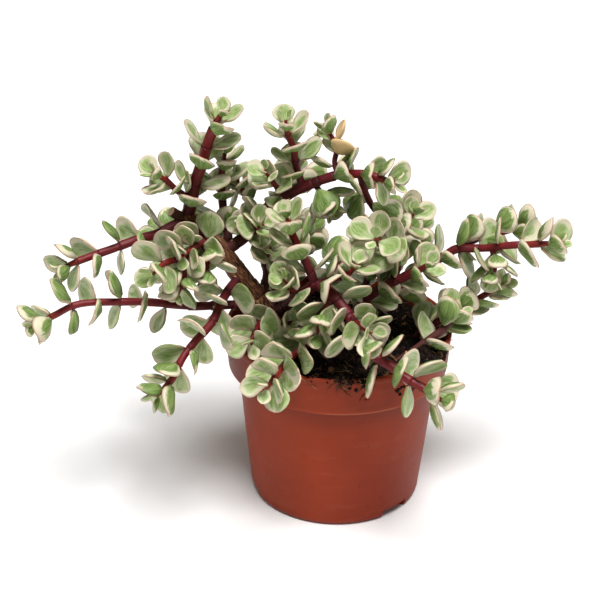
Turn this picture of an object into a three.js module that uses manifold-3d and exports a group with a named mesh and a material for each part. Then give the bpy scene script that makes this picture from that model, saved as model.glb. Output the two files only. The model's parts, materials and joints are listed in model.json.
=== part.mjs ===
// A succulent bush with small round variegated leaves, in a round plastic nursery pot filled with soil.
// Millimetres. The origin is the middle of the pot's flat base, +Z is up and -Y is the front.
import * as THREE from "three";
import { mergeVertices } from "three/addons/utils/BufferGeometryUtils.js";
import Module from "manifold-3d";

// Driving dimensions of the pot
const POT_HEIGHT = 97;
const RIM_RADIUS = 60;
const BAND_HEIGHT = 21;
const BAND_LOW_RADIUS = 58.4;
const BODY_TOP_RADIUS = 53;
const FOOT_RADIUS = 46;
const FOOT_ROUNDING = 3.2;
const WALL = 1.4;
const LIP = 2.2;
const LIP_ROUNDING = 0.3;
const BEAD_LOW = 3;
const BEAD_STEP = 0.8;
const BEAD_ROUNDING = 0.6;
const BAND_STEP = 1;
const POT_SIDES = 36;

// The pockets in the foot, each with a drain hole
const POCKETS = 3;
const POCKET_TURN = -49;
const POCKET_HALF_ANGLE = 11;
const POCKET_INNER_RADIUS = 35;
const POCKET_HEIGHT = 4.2;
const DRAIN_RADIUS = 2.6;
const DRAIN_AT_RADIUS = 40.5;
const DRAIN_SIDES = 10;
const CUT_PAST = 5;

// Soil: its level, its rings and sides, and the heaps round the trunk and against the rim
const SOIL_LEVEL = 88;
const SOIL_FLOOR = -5;
const SOIL_RINGS = 4;
const SOIL_SIDES = 22;
const SOIL_WAVE = { height: 1.1, acrossX: 5.1, acrossY: 6.3, shift: 1 };
const SOIL_RIPPLE = { height: 0.8, acrossX: 2.9, acrossY: 4.1 };
const SOIL_HEAPS = [
  { x: -28, y: -4, height: 4, spread: 20 },
  { x: 44, y: -34, height: 5, spread: 22 },
  { x: -6, y: -50, height: 3.5, spread: 16 },
];

// Clearances between pieces
const GAP = 0.3;
const STEM_MARGIN = 0.4;
const LEAF_MARGIN = 0.4;

// Stems: sides, distance between sections, and the slope past which up is taken from the front
const STEM_SIDES = 5;
const STEM_STEP = 12;
const STEEP = 0.8;

// Leaf pairs: degrees from the stem, size at the tip, the spacing of the last two pairs, and variation
const LEAF_SPREAD = 62;
const LEAF_SPREAD_TIP = 24;
const LEAST_SPREAD = 12;
const MOST_SPREAD = 88;
const LEAF_SIZE_TIP = 0.62;
const LEAF_ROOT = 0.6;
const CROWN_GAP = 5;
const CROWN_TIP = 0.4;
const TIP_INSET = 1;
const TURN_VARIES = 28;
const SPREAD_VARIES = 20;
const SIZE_VARIES = 0.24;

const wasm = await Module();
wasm.setup();
const rad = THREE.MathUtils.degToRad;
const vec = (p) => new THREE.Vector3(...p);
const blend = (a, s, b, t) => a.clone().multiplyScalar(s).addScaledVector(b, t);

// A number from 0 to 1 that looks random and is the same in every run.
function chance(a, b) {
  const s = Math.sin(a * 12.9898 + b * 78.233) * 43758.5453;
  return s - Math.floor(s);
}

// A closed solid from points and triangles.
function solidFrom(points, triangles) {
  return new wasm.Manifold(
    new wasm.Mesh({
      numProp: 3,
      vertProperties: new Float32Array(points.flatMap((p) => [p.x, p.y, p.z])),
      triVerts: new Uint32Array(triangles.flat()),
    }),
  );
}

// A closed solid from a three.js geometry.
function solidOf(geometry) {
  geometry.deleteAttribute("normal");
  geometry.deleteAttribute("uv");
  const merged = mergeVertices(geometry, 1e-4);
  return new wasm.Manifold(
    new wasm.Mesh({
      numProp: 3,
      vertProperties: merged.attributes.position.array,
      triVerts: new Uint32Array(merged.index.array),
    }),
  );
}

// The named mesh of a solid.
function meshOf(name, solid, material) {
  const data = solid.getMesh();
  const geometry = new THREE.BufferGeometry()
    .setAttribute("position", new THREE.BufferAttribute(data.vertProperties, 3))
    .setIndex(new THREE.BufferAttribute(data.triVerts, 1));
  const mesh = new THREE.Mesh(geometry, material);
  mesh.name = name;
  return mesh;
}

// A solid of revolution about +Z from [radius, height] points that start and end on the axis.
function revolved(profile, sides) {
  const lathe = new THREE.LatheGeometry(
    profile.map(([r, z]) => new THREE.Vector2(r, z)),
    sides,
  );
  return solidOf(lathe.rotateX(Math.PI / 2));
}

// A wedge of a ring between two radii and two heights, centred on an angle.
function ringWedge(inner, outer, low, high, angle, halfAngle) {
  const shape = new THREE.Shape();
  shape.absarc(0, 0, outer, angle - halfAngle, angle + halfAngle, false);
  shape.absarc(0, 0, inner, angle + halfAngle, angle - halfAngle, true);
  const made = new THREE.ExtrudeGeometry(shape, {
    depth: high - low,
    bevelEnabled: false,
    curveSegments: 2,
  });
  return solidOf(made.translate(0, 0, low));
}

const BAND_BOTTOM = POT_HEIGHT - BAND_HEIGHT;

// The outer surface of the pot, from the middle of its base up to the rim.
function potOutside() {
  return [
    [0, 0],
    [FOOT_RADIUS - FOOT_ROUNDING, 0],
    [FOOT_RADIUS - 0.35 * FOOT_ROUNDING, 0.3 * FOOT_ROUNDING],
    [FOOT_RADIUS, FOOT_ROUNDING],
    [BODY_TOP_RADIUS, BAND_BOTTOM - BAND_STEP],
    [BAND_LOW_RADIUS, BAND_BOTTOM],
    [RIM_RADIUS - BEAD_ROUNDING, POT_HEIGHT - BEAD_LOW],
    [RIM_RADIUS, POT_HEIGHT - BEAD_LOW + BEAD_STEP],
    [RIM_RADIUS, POT_HEIGHT - BEAD_ROUNDING],
    [RIM_RADIUS - BEAD_ROUNDING, POT_HEIGHT],
  ];
}

// The inner surface of the pot, from the rim down to the middle of its floor.
function potInside(extra = 0) {
  return [
    [RIM_RADIUS - LIP + LIP_ROUNDING - extra, POT_HEIGHT],
    [RIM_RADIUS - LIP - LIP_ROUNDING - extra, POT_HEIGHT - BAND_STEP],
    [BAND_LOW_RADIUS - WALL - extra, BAND_BOTTOM + WALL + extra],
    [BODY_TOP_RADIUS - WALL - extra, BAND_BOTTOM - BAND_STEP + WALL + extra],
    [FOOT_RADIUS - WALL - extra, FOOT_ROUNDING + WALL + extra],
    [FOOT_RADIUS - FOOT_ROUNDING - extra, WALL + extra],
    [0, WALL + extra],
  ];
}

const pocketAngles = Array.from({ length: POCKETS }, (_, i) => rad(POCKET_TURN + (360 / POCKETS) * i));

// The raised roofs over the pockets, grown by a margin.
function pocketRoofs(extra) {
  const half = rad(POCKET_HALF_ANGLE) + (WALL + extra) / POCKET_INNER_RADIUS;
  return pocketAngles.map((angle) =>
    ringWedge(
      POCKET_INNER_RADIUS - WALL - extra,
      FOOT_RADIUS + CUT_PAST,
      -CUT_PAST,
      POCKET_HEIGHT + WALL + extra,
      angle,
      half,
    ),
  );
}

// The pot: a thin shell with its pockets and drain holes.
function pot() {
  const envelope = revolved([...potOutside(), [0, POT_HEIGHT]], POT_SIDES);
  const shell = revolved([...potOutside(), ...potInside()], POT_SIDES);
  let made = shell;
  for (const roof of pocketRoofs(0)) made = made.add(roof.intersect(envelope));
  for (const angle of pocketAngles) {
    const pocket = ringWedge(
      POCKET_INNER_RADIUS,
      FOOT_RADIUS + CUT_PAST,
      -CUT_PAST,
      POCKET_HEIGHT,
      angle,
      rad(POCKET_HALF_ANGLE),
    );
    const drain = solidOf(
      new THREE.CylinderGeometry(DRAIN_RADIUS, DRAIN_RADIUS, 2 * CUT_PAST, DRAIN_SIDES)
        .rotateX(Math.PI / 2)
        .translate(DRAIN_AT_RADIUS * Math.cos(angle), DRAIN_AT_RADIUS * Math.sin(angle), POCKET_HEIGHT),
    );
    made = made.subtract(pocket).subtract(drain);
  }
  return made;
}

// Height of the soil's surface: the level, the heaps and small waves.
function soilHeight(x, y) {
  const { height, acrossX, acrossY, shift } = SOIL_WAVE;
  const wave = height * Math.sin(x / acrossX + shift) * Math.cos(y / acrossY);
  const ripple = SOIL_RIPPLE.height * Math.sin(x / SOIL_RIPPLE.acrossX - y / SOIL_RIPPLE.acrossY);
  const heaps = SOIL_HEAPS.map((h) => h.height * Math.exp(-((x - h.x) ** 2 + (y - h.y) ** 2) / h.spread ** 2));
  return heaps.reduce((sum, height) => sum + height, SOIL_LEVEL + wave + ripple);
}

// The soil that fills the pot, under its uneven surface.
function soil() {
  const lid = [
    [0, POT_HEIGHT + CUT_PAST],
    [RIM_RADIUS - LIP, POT_HEIGHT + CUT_PAST],
  ];
  const inside = revolved([...lid, ...potInside(GAP)].reverse(), POT_SIDES);
  const points = [new THREE.Vector3(0, 0, soilHeight(0, 0))];
  const triangles = [];
  const at = (ring, side) => 1 + (ring - 1) * SOIL_SIDES + (side % SOIL_SIDES);
  for (let ring = 1; ring <= SOIL_RINGS; ring++) {
    for (let side = 0; side < SOIL_SIDES; side++) {
      const r = (RIM_RADIUS + CUT_PAST) * (ring / SOIL_RINGS);
      const a = (2 * Math.PI * (side + 0.5 * (ring % 2))) / SOIL_SIDES;
      const [x, y] = [r * Math.cos(a), r * Math.sin(a)];
      points.push(new THREE.Vector3(x, y, soilHeight(x, y)));
      if (ring === 1) {
        triangles.push([0, at(1, side), at(1, side + 1)]);
        continue;
      }
      const [inner, innerNext] = [at(ring - 1, side), at(ring - 1, side + 1)];
      const [outer, outerNext] = [at(ring, side), at(ring, side + 1)];
      if (ring % 2) triangles.push([inner, outer, innerNext], [innerNext, outer, outerNext]);
      else triangles.push([inner, outer, outerNext], [inner, outerNext, innerNext]);
    }
  }
  const bottom = points.length;
  points.push(new THREE.Vector3(0, 0, SOIL_FLOOR));
  for (let side = 0; side < SOIL_SIDES; side++) {
    const top = points[at(SOIL_RINGS, side)];
    points.push(new THREE.Vector3(top.x, top.y, SOIL_FLOOR));
  }
  for (let side = 0; side < SOIL_SIDES; side++) {
    const [low, next] = [bottom + 1 + side, bottom + 1 + ((side + 1) % SOIL_SIDES)];
    const [top, topNext] = [at(SOIL_RINGS, side), at(SOIL_RINGS, side + 1)];
    triangles.push([top, low, topNext], [topNext, low, next], [bottom, next, low]);
  }
  let made = inside.intersect(solidFrom(points, triangles));
  for (const roof of pocketRoofs(GAP)) made = made.subtract(roof);
  return made;
}

// Points along a smooth curve through a stem's route, each with the directions there.
function framesAlong(route, step) {
  const curve = new THREE.CatmullRomCurve3(route.map(vec), false, "catmullrom", 0.5);
  const length = curve.getLength();
  const count = Math.max(2, Math.round(length / step));
  const frames = [];
  let up = null;
  for (let i = 0; i <= count; i++) {
    const point = curve.getPointAt(i / count);
    const along = curve.getTangentAt(i / count);
    if (!up) up = Math.abs(along.z) < STEEP ? vec([0, 0, 1]) : vec([0, -1, 0]);
    up = up.clone().addScaledVector(along, -up.dot(along)).normalize();
    frames.push({ point, along, up, side: along.clone().cross(up), at: i / count });
  }
  return { frames, length };
}

// The place and directions at a share of a stem's length, between the two nearest frames.
function frameAt(frames, share) {
  const exact = Math.min(0.9999, Math.max(0, share)) * (frames.length - 1);
  const [from, to] = [frames[Math.floor(exact)], frames[Math.floor(exact) + 1]];
  const t = exact - Math.floor(exact);
  const along = to.point.clone().sub(from.point).normalize();
  const up = from.up.clone().addScaledVector(along, -from.up.dot(along)).normalize();
  return { point: from.point.clone().lerp(to.point, t), along, up, side: along.clone().cross(up), at: share };
}

// A round stem through the frames, with its radius going from one end's to the other's.
function tube(frames, thick, thin, extra = 0) {
  const points = [];
  const triangles = [];
  const last = frames.length - 1;
  frames.forEach((frame, i) => {
    const radius = THREE.MathUtils.lerp(thick, thin, frame.at) + extra;
    const reach = i === 0 ? -extra : i === last ? extra : 0;
    for (let s = 0; s < STEM_SIDES; s++) {
      const angle = (2 * Math.PI * s) / STEM_SIDES;
      points.push(
        frame.point
          .clone()
          .addScaledVector(frame.up, radius * Math.cos(angle))
          .addScaledVector(frame.side, radius * Math.sin(angle))
          .addScaledVector(frame.along, reach),
      );
      const [a, b] = [i * STEM_SIDES + s, i * STEM_SIDES + ((s + 1) % STEM_SIDES)];
      if (i < last) triangles.push([a, b, b + STEM_SIDES], [a, b + STEM_SIDES, a + STEM_SIDES]);
    }
  });
  for (let s = 1; s < STEM_SIDES - 1; s++) {
    const end = last * STEM_SIDES;
    triangles.push([0, s + 1, s], [end, end + s, end + s + 1]);
  }
  return solidFrom(points, triangles);
}

// Half the outline of a leaf of length 1: distance along it, half width, and rise of the edge.
const LEAF_EDGE = [
  [0.4, 0.37, 0.05],
  [0.76, 0.45, 0.1],
  [1, 0.2, 0.12],
];
const LEAF_MIDDLE = 0.5;
const LEAF_TOP = 0.02;
const LEAF_UNDER = -0.13;

// A thick cupped leaf that starts at a point, with the directions of its length and of its upper face.
function leaf(base, along, face, size, extra = 0) {
  const across = face.clone().cross(along);
  const put = (x, y, z) =>
    base
      .clone()
      .addScaledVector(along, x * size + (x === 1 ? extra : 0))
      .addScaledVector(across, y * size + Math.sign(y) * extra)
      .addScaledVector(face, z * size + (y === 0 ? Math.sign(z) * 1.5 * extra : 0));
  const right = LEAF_EDGE.map(([x, half, rise]) => put(x, -half, rise));
  const left = LEAF_EDGE.map(([x, half, rise]) => put(x, half, rise)).reverse();
  const ring = [base, ...right, ...left];
  const [upper, lower] = [ring.length, ring.length + 1];
  const triangles = ring.flatMap((_, i) => {
    const next = (i + 1) % ring.length;
    return [[i, next, upper], [next, i, lower]];
  });
  return solidFrom([...ring, put(LEAF_MIDDLE, 0, LEAF_TOP), put(LEAF_MIDDLE, 0, LEAF_UNDER)], triangles);
}

// Stems. Each has what it grows from, its radii at the two ends, and its route in millimetres.
// A leafy one adds its leaf pairs: the place of the first along the stem, the gap from pair to pair,
// the turn of the first about the stem in degrees, where 0 is upright, and the length of a leaf.
const STEMS = [
  {
    name: "trunk",
    on: "soil",
    radii: [5.4, 3.9],
    route: [
      [-22, -6, 58], [-27, -6, 83], [-33, -6, 93], [-38, -5, 104],
      [-43, -4, 115],
    ],
  },
  {
    name: "limb_left",
    on: "trunk",
    radii: [3.7, 3.1],
    route: [
      [-43, -4, 115], [-52, -2, 126], [-61, 0, 139], [-71, 2, 149],
      [-80, 3, 158],
    ],
  },
  {
    name: "limb_middle",
    on: "trunk",
    radii: [2.8, 1.9],
    route: [
      [-42, -4, 113], [-38, 6, 122], [-40, 10, 130], [-43, 14, 140],
      [-47, 18, 156],
    ],
  },
  {
    name: "limb_right",
    on: "limb_left",
    radii: [3.3, 2.8],
    route: [
      [-61, 0, 139], [-55, 2, 142], [-48, 5, 147], [-38, 8, 160],
      [-24, 8, 170], [-15, 7, 175],
    ],
  },
  {
    name: "limb_front",
    on: "trunk",
    radii: [3.2, 3.0],
    route: [
      [-37, -6, 103], [-28, -18, 117], [-21, -26, 127], [-12, -32, 137],
    ],
  },
  {
    name: "stub_cut",
    on: "limb_left",
    radii: [2.9, 2.6],
    route: [
      [-79, 4, 157], [-83, 7, 160], [-88, 9, 163],
    ],
  },
  {
    name: "shoot_far_left_upper",
    on: "limb_left",
    radii: [2.9, 1.7],
    pairs: { first: 17, gap: 11, turn: 0, leaf: 14.5 },
    route: [
      [-78, 3, 156], [-86, -2, 154], [-94, -6, 151], [-104, -11, 150],
      [-116, -16, 147], [-130, -22, 144], [-141, -27, 141],
    ],
  },
  {
    name: "shoot_far_left_lower",
    on: "trunk",
    radii: [2.6, 1.6],
    pairs: { first: 62, gap: 11, turn: 0, leaf: 15 },
    route: [
      [-42, -7, 110], [-54, -10, 113], [-75, -16, 115], [-97, -24, 121],
      [-114, -30, 124], [-132, -35, 125], [-144, -38, 120], [-154, -41, 116],
    ],
  },
  {
    name: "shoot_left_crown",
    on: "limb_left",
    radii: [2.9, 1.9],
    pairs: { first: 12, gap: 9.5, turn: 90, leaf: 14.5 },
    route: [
      [-79, 3, 157], [-76, 1, 170], [-74, 0, 179], [-71, -1, 188],
      [-68, -2, 199], [-65, -3, 207], [-61, -4, 216],
    ],
  },
  {
    name: "shoot_left_crown_side",
    on: "shoot_left_crown",
    radii: [1.9, 1.4],
    pairs: { first: 5, gap: 7.5, turn: 0, leaf: 13.5 },
    route: [
      [-77, 1, 167], [-84, -4, 175], [-89, -8, 182], [-95, -11, 187],
    ],
  },
  {
    name: "shoot_left_behind",
    on: "limb_left",
    radii: [2.2, 1.5],
    pairs: { first: 14, gap: 9.5, turn: 0, leaf: 14.5 },
    route: [
      [-58, 1, 136], [-59, 12, 147], [-61, 15, 154], [-62, 16, 166],
      [-62, 16, 176], [-60, 15, 188],
    ],
  },
  {
    name: "shoot_right_upper",
    on: "limb_right",
    radii: [2.7, 1.9],
    pairs: { first: 15, gap: 8, turn: 90, leaf: 14 },
    route: [
      [-14.6, 7, 175.2], [-1, 4, 181], [11, 0, 183], [21, -4, 182],
      [26, -6, 182],
    ],
  },
  {
    name: "shoot_top_centre",
    on: "limb_right",
    radii: [2.1, 1.5],
    pairs: { first: 9, gap: 8, turn: 0, leaf: 13.5 },
    route: [
      [-20, 8, 172], [-22, 7, 179], [-24, 6, 187], [-25, 5, 195],
      [-28, 3, 203], [-29, 1, 211],
    ],
  },
  {
    name: "shoot_top_small",
    on: "shoot_right_upper",
    radii: [1.5, 1.1],
    pairs: { first: 8, gap: 7, turn: 90, leaf: 12.5 },
    route: [
      [-2, 4, 181], [-4, 8, 186], [-3, 11, 192], [-5, 13, 197],
      [-9, 14, 203],
    ],
  },
  {
    name: "shoot_inner_low",
    on: "limb_right",
    radii: [1.6, 1.2],
    pairs: { first: 6, gap: 6, turn: 0, leaf: 12.5 },
    route: [
      [-30, 8, 166], [-33, 2, 174], [-37, -3, 182], [-39, -6, 187],
    ],
  },
  {
    name: "shoot_right_hanging",
    on: "shoot_right_upper",
    radii: [1.9, 1.4],
    pairs: { first: 14, gap: 9, turn: 45, leaf: 14.5 },
    route: [
      [9, 1, 182], [12, 6, 171], [17, 12, 159], [25, 16, 151],
      [32, 14, 149], [36, 11, 154], [38, 9, 158],
    ],
  },
  {
    name: "shoot_middle",
    on: "limb_middle",
    radii: [1.8, 1.3],
    pairs: { first: 5, gap: 7.5, turn: 30, leaf: 14 },
    route: [
      [-47, 18, 155], [-50, 18, 163], [-54, 17, 172],
    ],
  },
  {
    name: "shoot_left_low",
    on: "limb_left",
    radii: [2.2, 1.5],
    pairs: { first: 12, gap: 9, turn: 45, leaf: 14.5 },
    route: [
      [-69, 2, 147], [-74, -14, 148], [-79, -24, 147], [-88, -36, 149],
      [-93, -44, 147],
    ],
  },
  {
    name: "shoot_left_front",
    on: "limb_left",
    radii: [2.1, 1.5],
    pairs: { first: 13, gap: 9, turn: 20, leaf: 14.5 },
    route: [
      [-64, 1, 142], [-70, -12, 151], [-74, -25, 156], [-76, -34, 158],
    ],
  },
  {
    name: "shoot_front_left_hanging",
    on: "limb_left",
    radii: [2.6, 1.6],
    pairs: { first: 18, gap: 10, turn: 90, leaf: 15 },
    route: [
      [-52, -2, 126], [-57, -14, 124], [-61, -24, 121], [-65, -34, 115],
      [-73, -45, 110], [-79, -52, 104], [-83, -58, 97], [-88, -62, 92],
      [-91, -64, 89],
    ],
  },
  {
    name: "shoot_front_low",
    on: "trunk",
    radii: [1.9, 1.4],
    pairs: { first: 12, gap: 7, turn: 20, leaf: 14.5 },
    route: [
      [-35, -7, 97], [-40, -20, 108], [-44, -31, 107], [-45, -38, 105],
    ],
  },
  {
    name: "shoot_front_centre",
    on: "trunk",
    radii: [2.4, 1.6],
    pairs: { first: 34, gap: 9.5, turn: 90, leaf: 16.5 },
    route: [
      [-33, -6, 95], [-15, -16, 101], [-17, -32, 102], [-26, -50, 103],
      [-32, -66, 103], [-36, -76, 102],
    ],
  },
  {
    name: "shoot_centre_rising",
    on: "limb_front",
    radii: [2.4, 1.7],
    pairs: { first: 9, gap: 9, turn: 90, leaf: 15 },
    route: [
      [-13, -31, 136], [-17, -32, 147], [-20, -31, 153], [-25, -31, 164],
      [-28, -32, 174],
    ],
  },
  {
    name: "shoot_front_right_hanging",
    on: "limb_front",
    radii: [2.9, 1.8],
    pairs: { first: 12, gap: 9.5, turn: 45, leaf: 16.5 },
    route: [
      [-12, -32, 137], [-4, -40, 134], [3, -47, 128], [7, -53, 122],
      [11, -57, 115], [17, -60, 111], [25, -62, 107], [31, -65, 103],
      [43, -70, 98], [50, -73, 94],
    ],
  },
  {
    name: "shoot_front_side",
    on: "shoot_front_right_hanging",
    radii: [1.8, 1.3],
    pairs: { first: 6, gap: 6, turn: 0, leaf: 14.5 },
    route: [
      [4, -48, 127], [8, -60, 131], [9, -68, 134],
    ],
  },
  {
    name: "shoot_facing",
    on: "limb_front",
    radii: [2, 1.5],
    pairs: { first: 7, gap: 7, turn: 0, leaf: 14.5 },
    route: [
      [-13, -31, 136], [-3, -32, 140], [4, -33, 144], [7, -36, 150],
    ],
  },
  {
    name: "stem_right",
    on: "soil",
    radii: [3, 2.3],
    pairs: { first: 30, gap: 10, turn: 90, leaf: 15 },
    route: [
      [6, 2, 66], [5, 0, 91], [8, -3, 104], [14, -5, 115],
      [24, -7, 124], [33, -9, 130], [40, -11, 135], [44, -13, 139],
    ],
  },
  {
    name: "shoot_rosette",
    on: "stem_right",
    radii: [2, 1.5],
    pairs: { first: 18, gap: 8.5, turn: 0, leaf: 15 },
    route: [
      [24, -7, 124], [29, 0, 127], [30, 2, 134], [27, -4, 143],
      [21, -16, 152], [16, -30, 161],
    ],
  },
  {
    name: "shoot_far_right",
    on: "stem_right",
    radii: [2.6, 1.7],
    pairs: { first: 14, gap: 11.5, turn: 0, leaf: 15 },
    route: [
      [32, -8, 129], [42, 0, 131], [54, 4, 136], [60, 4, 140],
      [68, 3, 141], [77, 0, 143], [87, -3, 146], [97, -6, 148],
      [107, -9, 150],
    ],
  },
  {
    name: "shoot_far_right_behind",
    on: "shoot_far_right",
    radii: [2, 1.4],
    pairs: { first: 12, gap: 8, turn: 20, leaf: 14 },
    route: [
      [57, 4, 138], [66, 10, 140], [76, 15, 143], [87, 18, 144],
      [98, 20, 148],
    ],
  },
  {
    name: "shoot_right_low",
    on: "soil",
    radii: [2.6, 1.7],
    pairs: { first: 30, gap: 10, turn: 45, leaf: 16 },
    route: [
      [14, -34, 70], [24, -30, 85], [29, -26, 88], [34, -24, 91],
      [40, -22, 95], [47, -20, 100], [52, -18, 103], [57, -16, 107],
      [61, -15, 111],
    ],
  },
  {
    name: "shoot_right_outer",
    on: "soil",
    radii: [2.3, 1.6],
    pairs: { first: 26, gap: 9, turn: 20, leaf: 15 },
    route: [
      [33, 2, 66], [42, 0, 90], [55, -3, 103], [68, 0, 110],
      [78, 3, 115], [86, 4, 119],
    ],
  },
  {
    name: "shoot_back_left",
    on: "limb_left",
    radii: [2.4, 1.5],
    pairs: { first: 12, gap: 12.5, turn: 0, leaf: 15 },
    route: [
      [-56, -1, 132], [-66, 14, 134], [-78, 30, 132], [-90, 44, 127],
      [-100, 54, 120],
    ],
  },
  {
    name: "shoot_back_centre",
    on: "trunk",
    radii: [2.6, 1.6],
    pairs: { first: 16, gap: 13, turn: 45, leaf: 15 },
    route: [
      [-38, -5, 104], [-32, 12, 116], [-28, 30, 124], [-24, 48, 126],
      [-20, 64, 122], [-18, 76, 115],
    ],
  },
  {
    name: "shoot_back_upper",
    on: "limb_right",
    radii: [2.2, 1.5],
    pairs: { first: 12, gap: 12, turn: 0, leaf: 14.5 },
    route: [
      [-34, 8, 163], [-32, 20, 165], [-28, 32, 166], [-24, 44, 164],
      [-22, 54, 160],
    ],
  },
  {
    name: "shoot_back_right",
    on: "stem_right",
    radii: [2.3, 1.5],
    pairs: { first: 14, gap: 12.5, turn: 30, leaf: 15 },
    route: [
      [12, -4, 112], [16, 12, 122], [24, 28, 130], [34, 42, 132],
      [44, 54, 129],
    ],
  },
  {
    name: "shoot_back_low",
    on: "soil",
    radii: [2.3, 1.5],
    pairs: { first: 30, gap: 12.5, turn: 0, leaf: 15 },
    route: [
      [-6, 24, 70], [-6, 32, 90], [-4, 46, 102], [0, 60, 104],
      [4, 72, 99],
    ],
  },
];

const FINISH = {
  pot: new THREE.MeshStandardMaterial({ color: "#9a4430", roughness: 0.5, metalness: 0 }),
  soil: new THREE.MeshStandardMaterial({ color: "#2d211a", roughness: 0.95, metalness: 0 }),
  bark: new THREE.MeshStandardMaterial({ color: "#6b4a36", roughness: 0.85, metalness: 0 }),
  stem: new THREE.MeshStandardMaterial({ color: "#6d1f26", roughness: 0.5, metalness: 0 }),
  leaf: new THREE.MeshStandardMaterial({ color: "#a9bd87", roughness: 0.5, metalness: 0 }),
};

// The stems, each cut back at its root from the stem it grows from and from those beside it.
const stems = new Map();
STEMS.forEach((plan, index) => {
  const { frames, length } = framesAlong(plan.route, STEM_STEP);
  const [thick, thin] = plan.radii;
  let body = tube(frames, thick, thin);
  for (const earlier of stems.values()) body = body.subtract(earlier.grown);
  const grown = tube(frames, thick, thin, STEM_MARGIN);
  stems.set(plan.name, { plan, index, frames, length, body, grown, leaves: [] });
});

// The pot, and the soil with a socket for each stem that stands in it.
let ground = soil();
for (const { plan, grown } of stems.values()) {
  if (plan.on === "soil") ground = ground.subtract(grown);
}
const bodies = new Map([
  ["pot", pot()],
  ["soil", ground],
]);

// The places of a stem's leaf pairs, with how far each is on the way to a tip pair, from 0 to 1.
function pairPlaces({ first, gap }, length) {
  const places = [];
  const crown = length - CROWN_GAP;
  for (let at = first; at < crown - gap / 2; at += gap) places.push({ at, tip: 0 });
  places.push({ at: crown, tip: CROWN_TIP }, { at: length - TIP_INSET, tip: 1 });
  return places;
}

// Whether a leaf, grown by the gap, meets no other piece.
function isClear(grown, name) {
  const meets = (solid) => !apart(grown, solid) && grown.intersect(solid).volume() > 0;
  if (meets(bodies.get("pot")) || meets(bodies.get("soil"))) return false;
  for (const [other, stem] of stems) {
    if (other === name) continue;
    if ([stem.body, ...stem.leaves].some(meets)) return false;
  }
  return true;
}

// Whether the boxes round two solids are apart.
function apart(a, b) {
  const [p, q] = [a.boundingBox(), b.boundingBox()];
  return [0, 1, 2].some((k) => p.min[k] > q.max[k] || q.min[k] > p.max[k]);
}

// Leaf postures tried in turn until one keeps clear: change of spread, change of turn, share of size.
const POSTURES = [
  { spread: 0, turn: 0, share: 1 },
  { spread: -14, turn: 0, share: 1 },
  { spread: 14, turn: 0, share: 0.95 },
  { spread: 0, turn: 25, share: 0.95 },
  { spread: 0, turn: -25, share: 0.95 },
  { spread: -24, turn: 0, share: 0.85 },
  { spread: 20, turn: 30, share: 0.8 },
  { spread: -20, turn: -35, share: 0.75 },
  { spread: 0, turn: 0, share: 0.6 },
];

// Adds one leaf to a stem at a frame, in the first posture that keeps clear, or none.
function addLeaf(stem, frame, radius, { turn, spread, size }) {
  for (const posture of POSTURES) {
    const angle = rad(turn + posture.turn);
    const lean = rad(THREE.MathUtils.clamp(spread + posture.spread, LEAST_SPREAD, MOST_SPREAD));
    const out = blend(frame.up, Math.cos(angle), frame.side, Math.sin(angle));
    const along = blend(frame.along, Math.cos(lean), out, Math.sin(lean));
    const face = blend(frame.along, Math.sin(lean), out, -Math.cos(lean));
    const base = blend(frame.point, 1, out, LEAF_ROOT * radius);
    const reach = size * posture.share + LEAF_ROOT * radius;
    if (!isClear(leaf(base, along, face, reach, LEAF_MARGIN), stem.plan.name)) continue;
    stem.leaves.push(leaf(base, along, face, reach));
    return;
  }
}

// Adds a stem's leaves: opposite pairs, each pair turned a quarter circle from the last.
function addLeaves(stem) {
  const { plan, index, length, frames } = stem;
  pairPlaces(plan.pairs, length).forEach(({ at, tip }, pair) => {
    const frame = frameAt(frames, at / length);
    const radius = THREE.MathUtils.lerp(...plan.radii, frame.at);
    const tipSpread = THREE.MathUtils.lerp(LEAF_SPREAD, LEAF_SPREAD_TIP, tip);
    const tipSize = plan.pairs.leaf * THREE.MathUtils.lerp(1, LEAF_SIZE_TIP, tip);
    for (const half of [0, 1]) {
      const seed = 2 * pair + half;
      addLeaf(stem, frame, radius, {
        turn: plan.pairs.turn + 90 * pair + 180 * half + TURN_VARIES * (chance(index, seed) - 0.5),
        spread: tipSpread + SPREAD_VARIES * (chance(seed, index) - 0.5),
        size: tipSize * (1 + SIZE_VARIES * (chance(index + 7, seed) - 0.5)),
      });
    }
  });
}

for (const stem of stems.values()) {
  if (stem.plan.pairs) addLeaves(stem);
}

const plant = new THREE.Group();
plant.name = "potted_variegated_bush";
for (const [name, body] of bodies) plant.add(meshOf(name, body, FINISH[name]));
for (const [name, { plan, body, leaves }] of stems) {
  const bare = name === "trunk" ? FINISH.bark : FINISH.stem;
  const whole = leaves.length ? wasm.Manifold.union([body, ...leaves]) : body;
  plant.add(meshOf(name, whole, plan.pairs ? FINISH.leaf : bare));
}

export default plant;
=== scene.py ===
"""The looks of a variegated succulent bush in a round plastic nursery pot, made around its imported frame.

Tables and sizes are in millimetres and degrees, and meshes are in metres. +Z is up and -Y is the front.
"""

import json
import logging
import math
from collections.abc import Iterable, Sequence
from dataclasses import dataclass, field
from enum import Enum
from itertools import combinations

import bmesh
import bpy
import numpy as np
from mathutils import Matrix, Vector, noise

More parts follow.
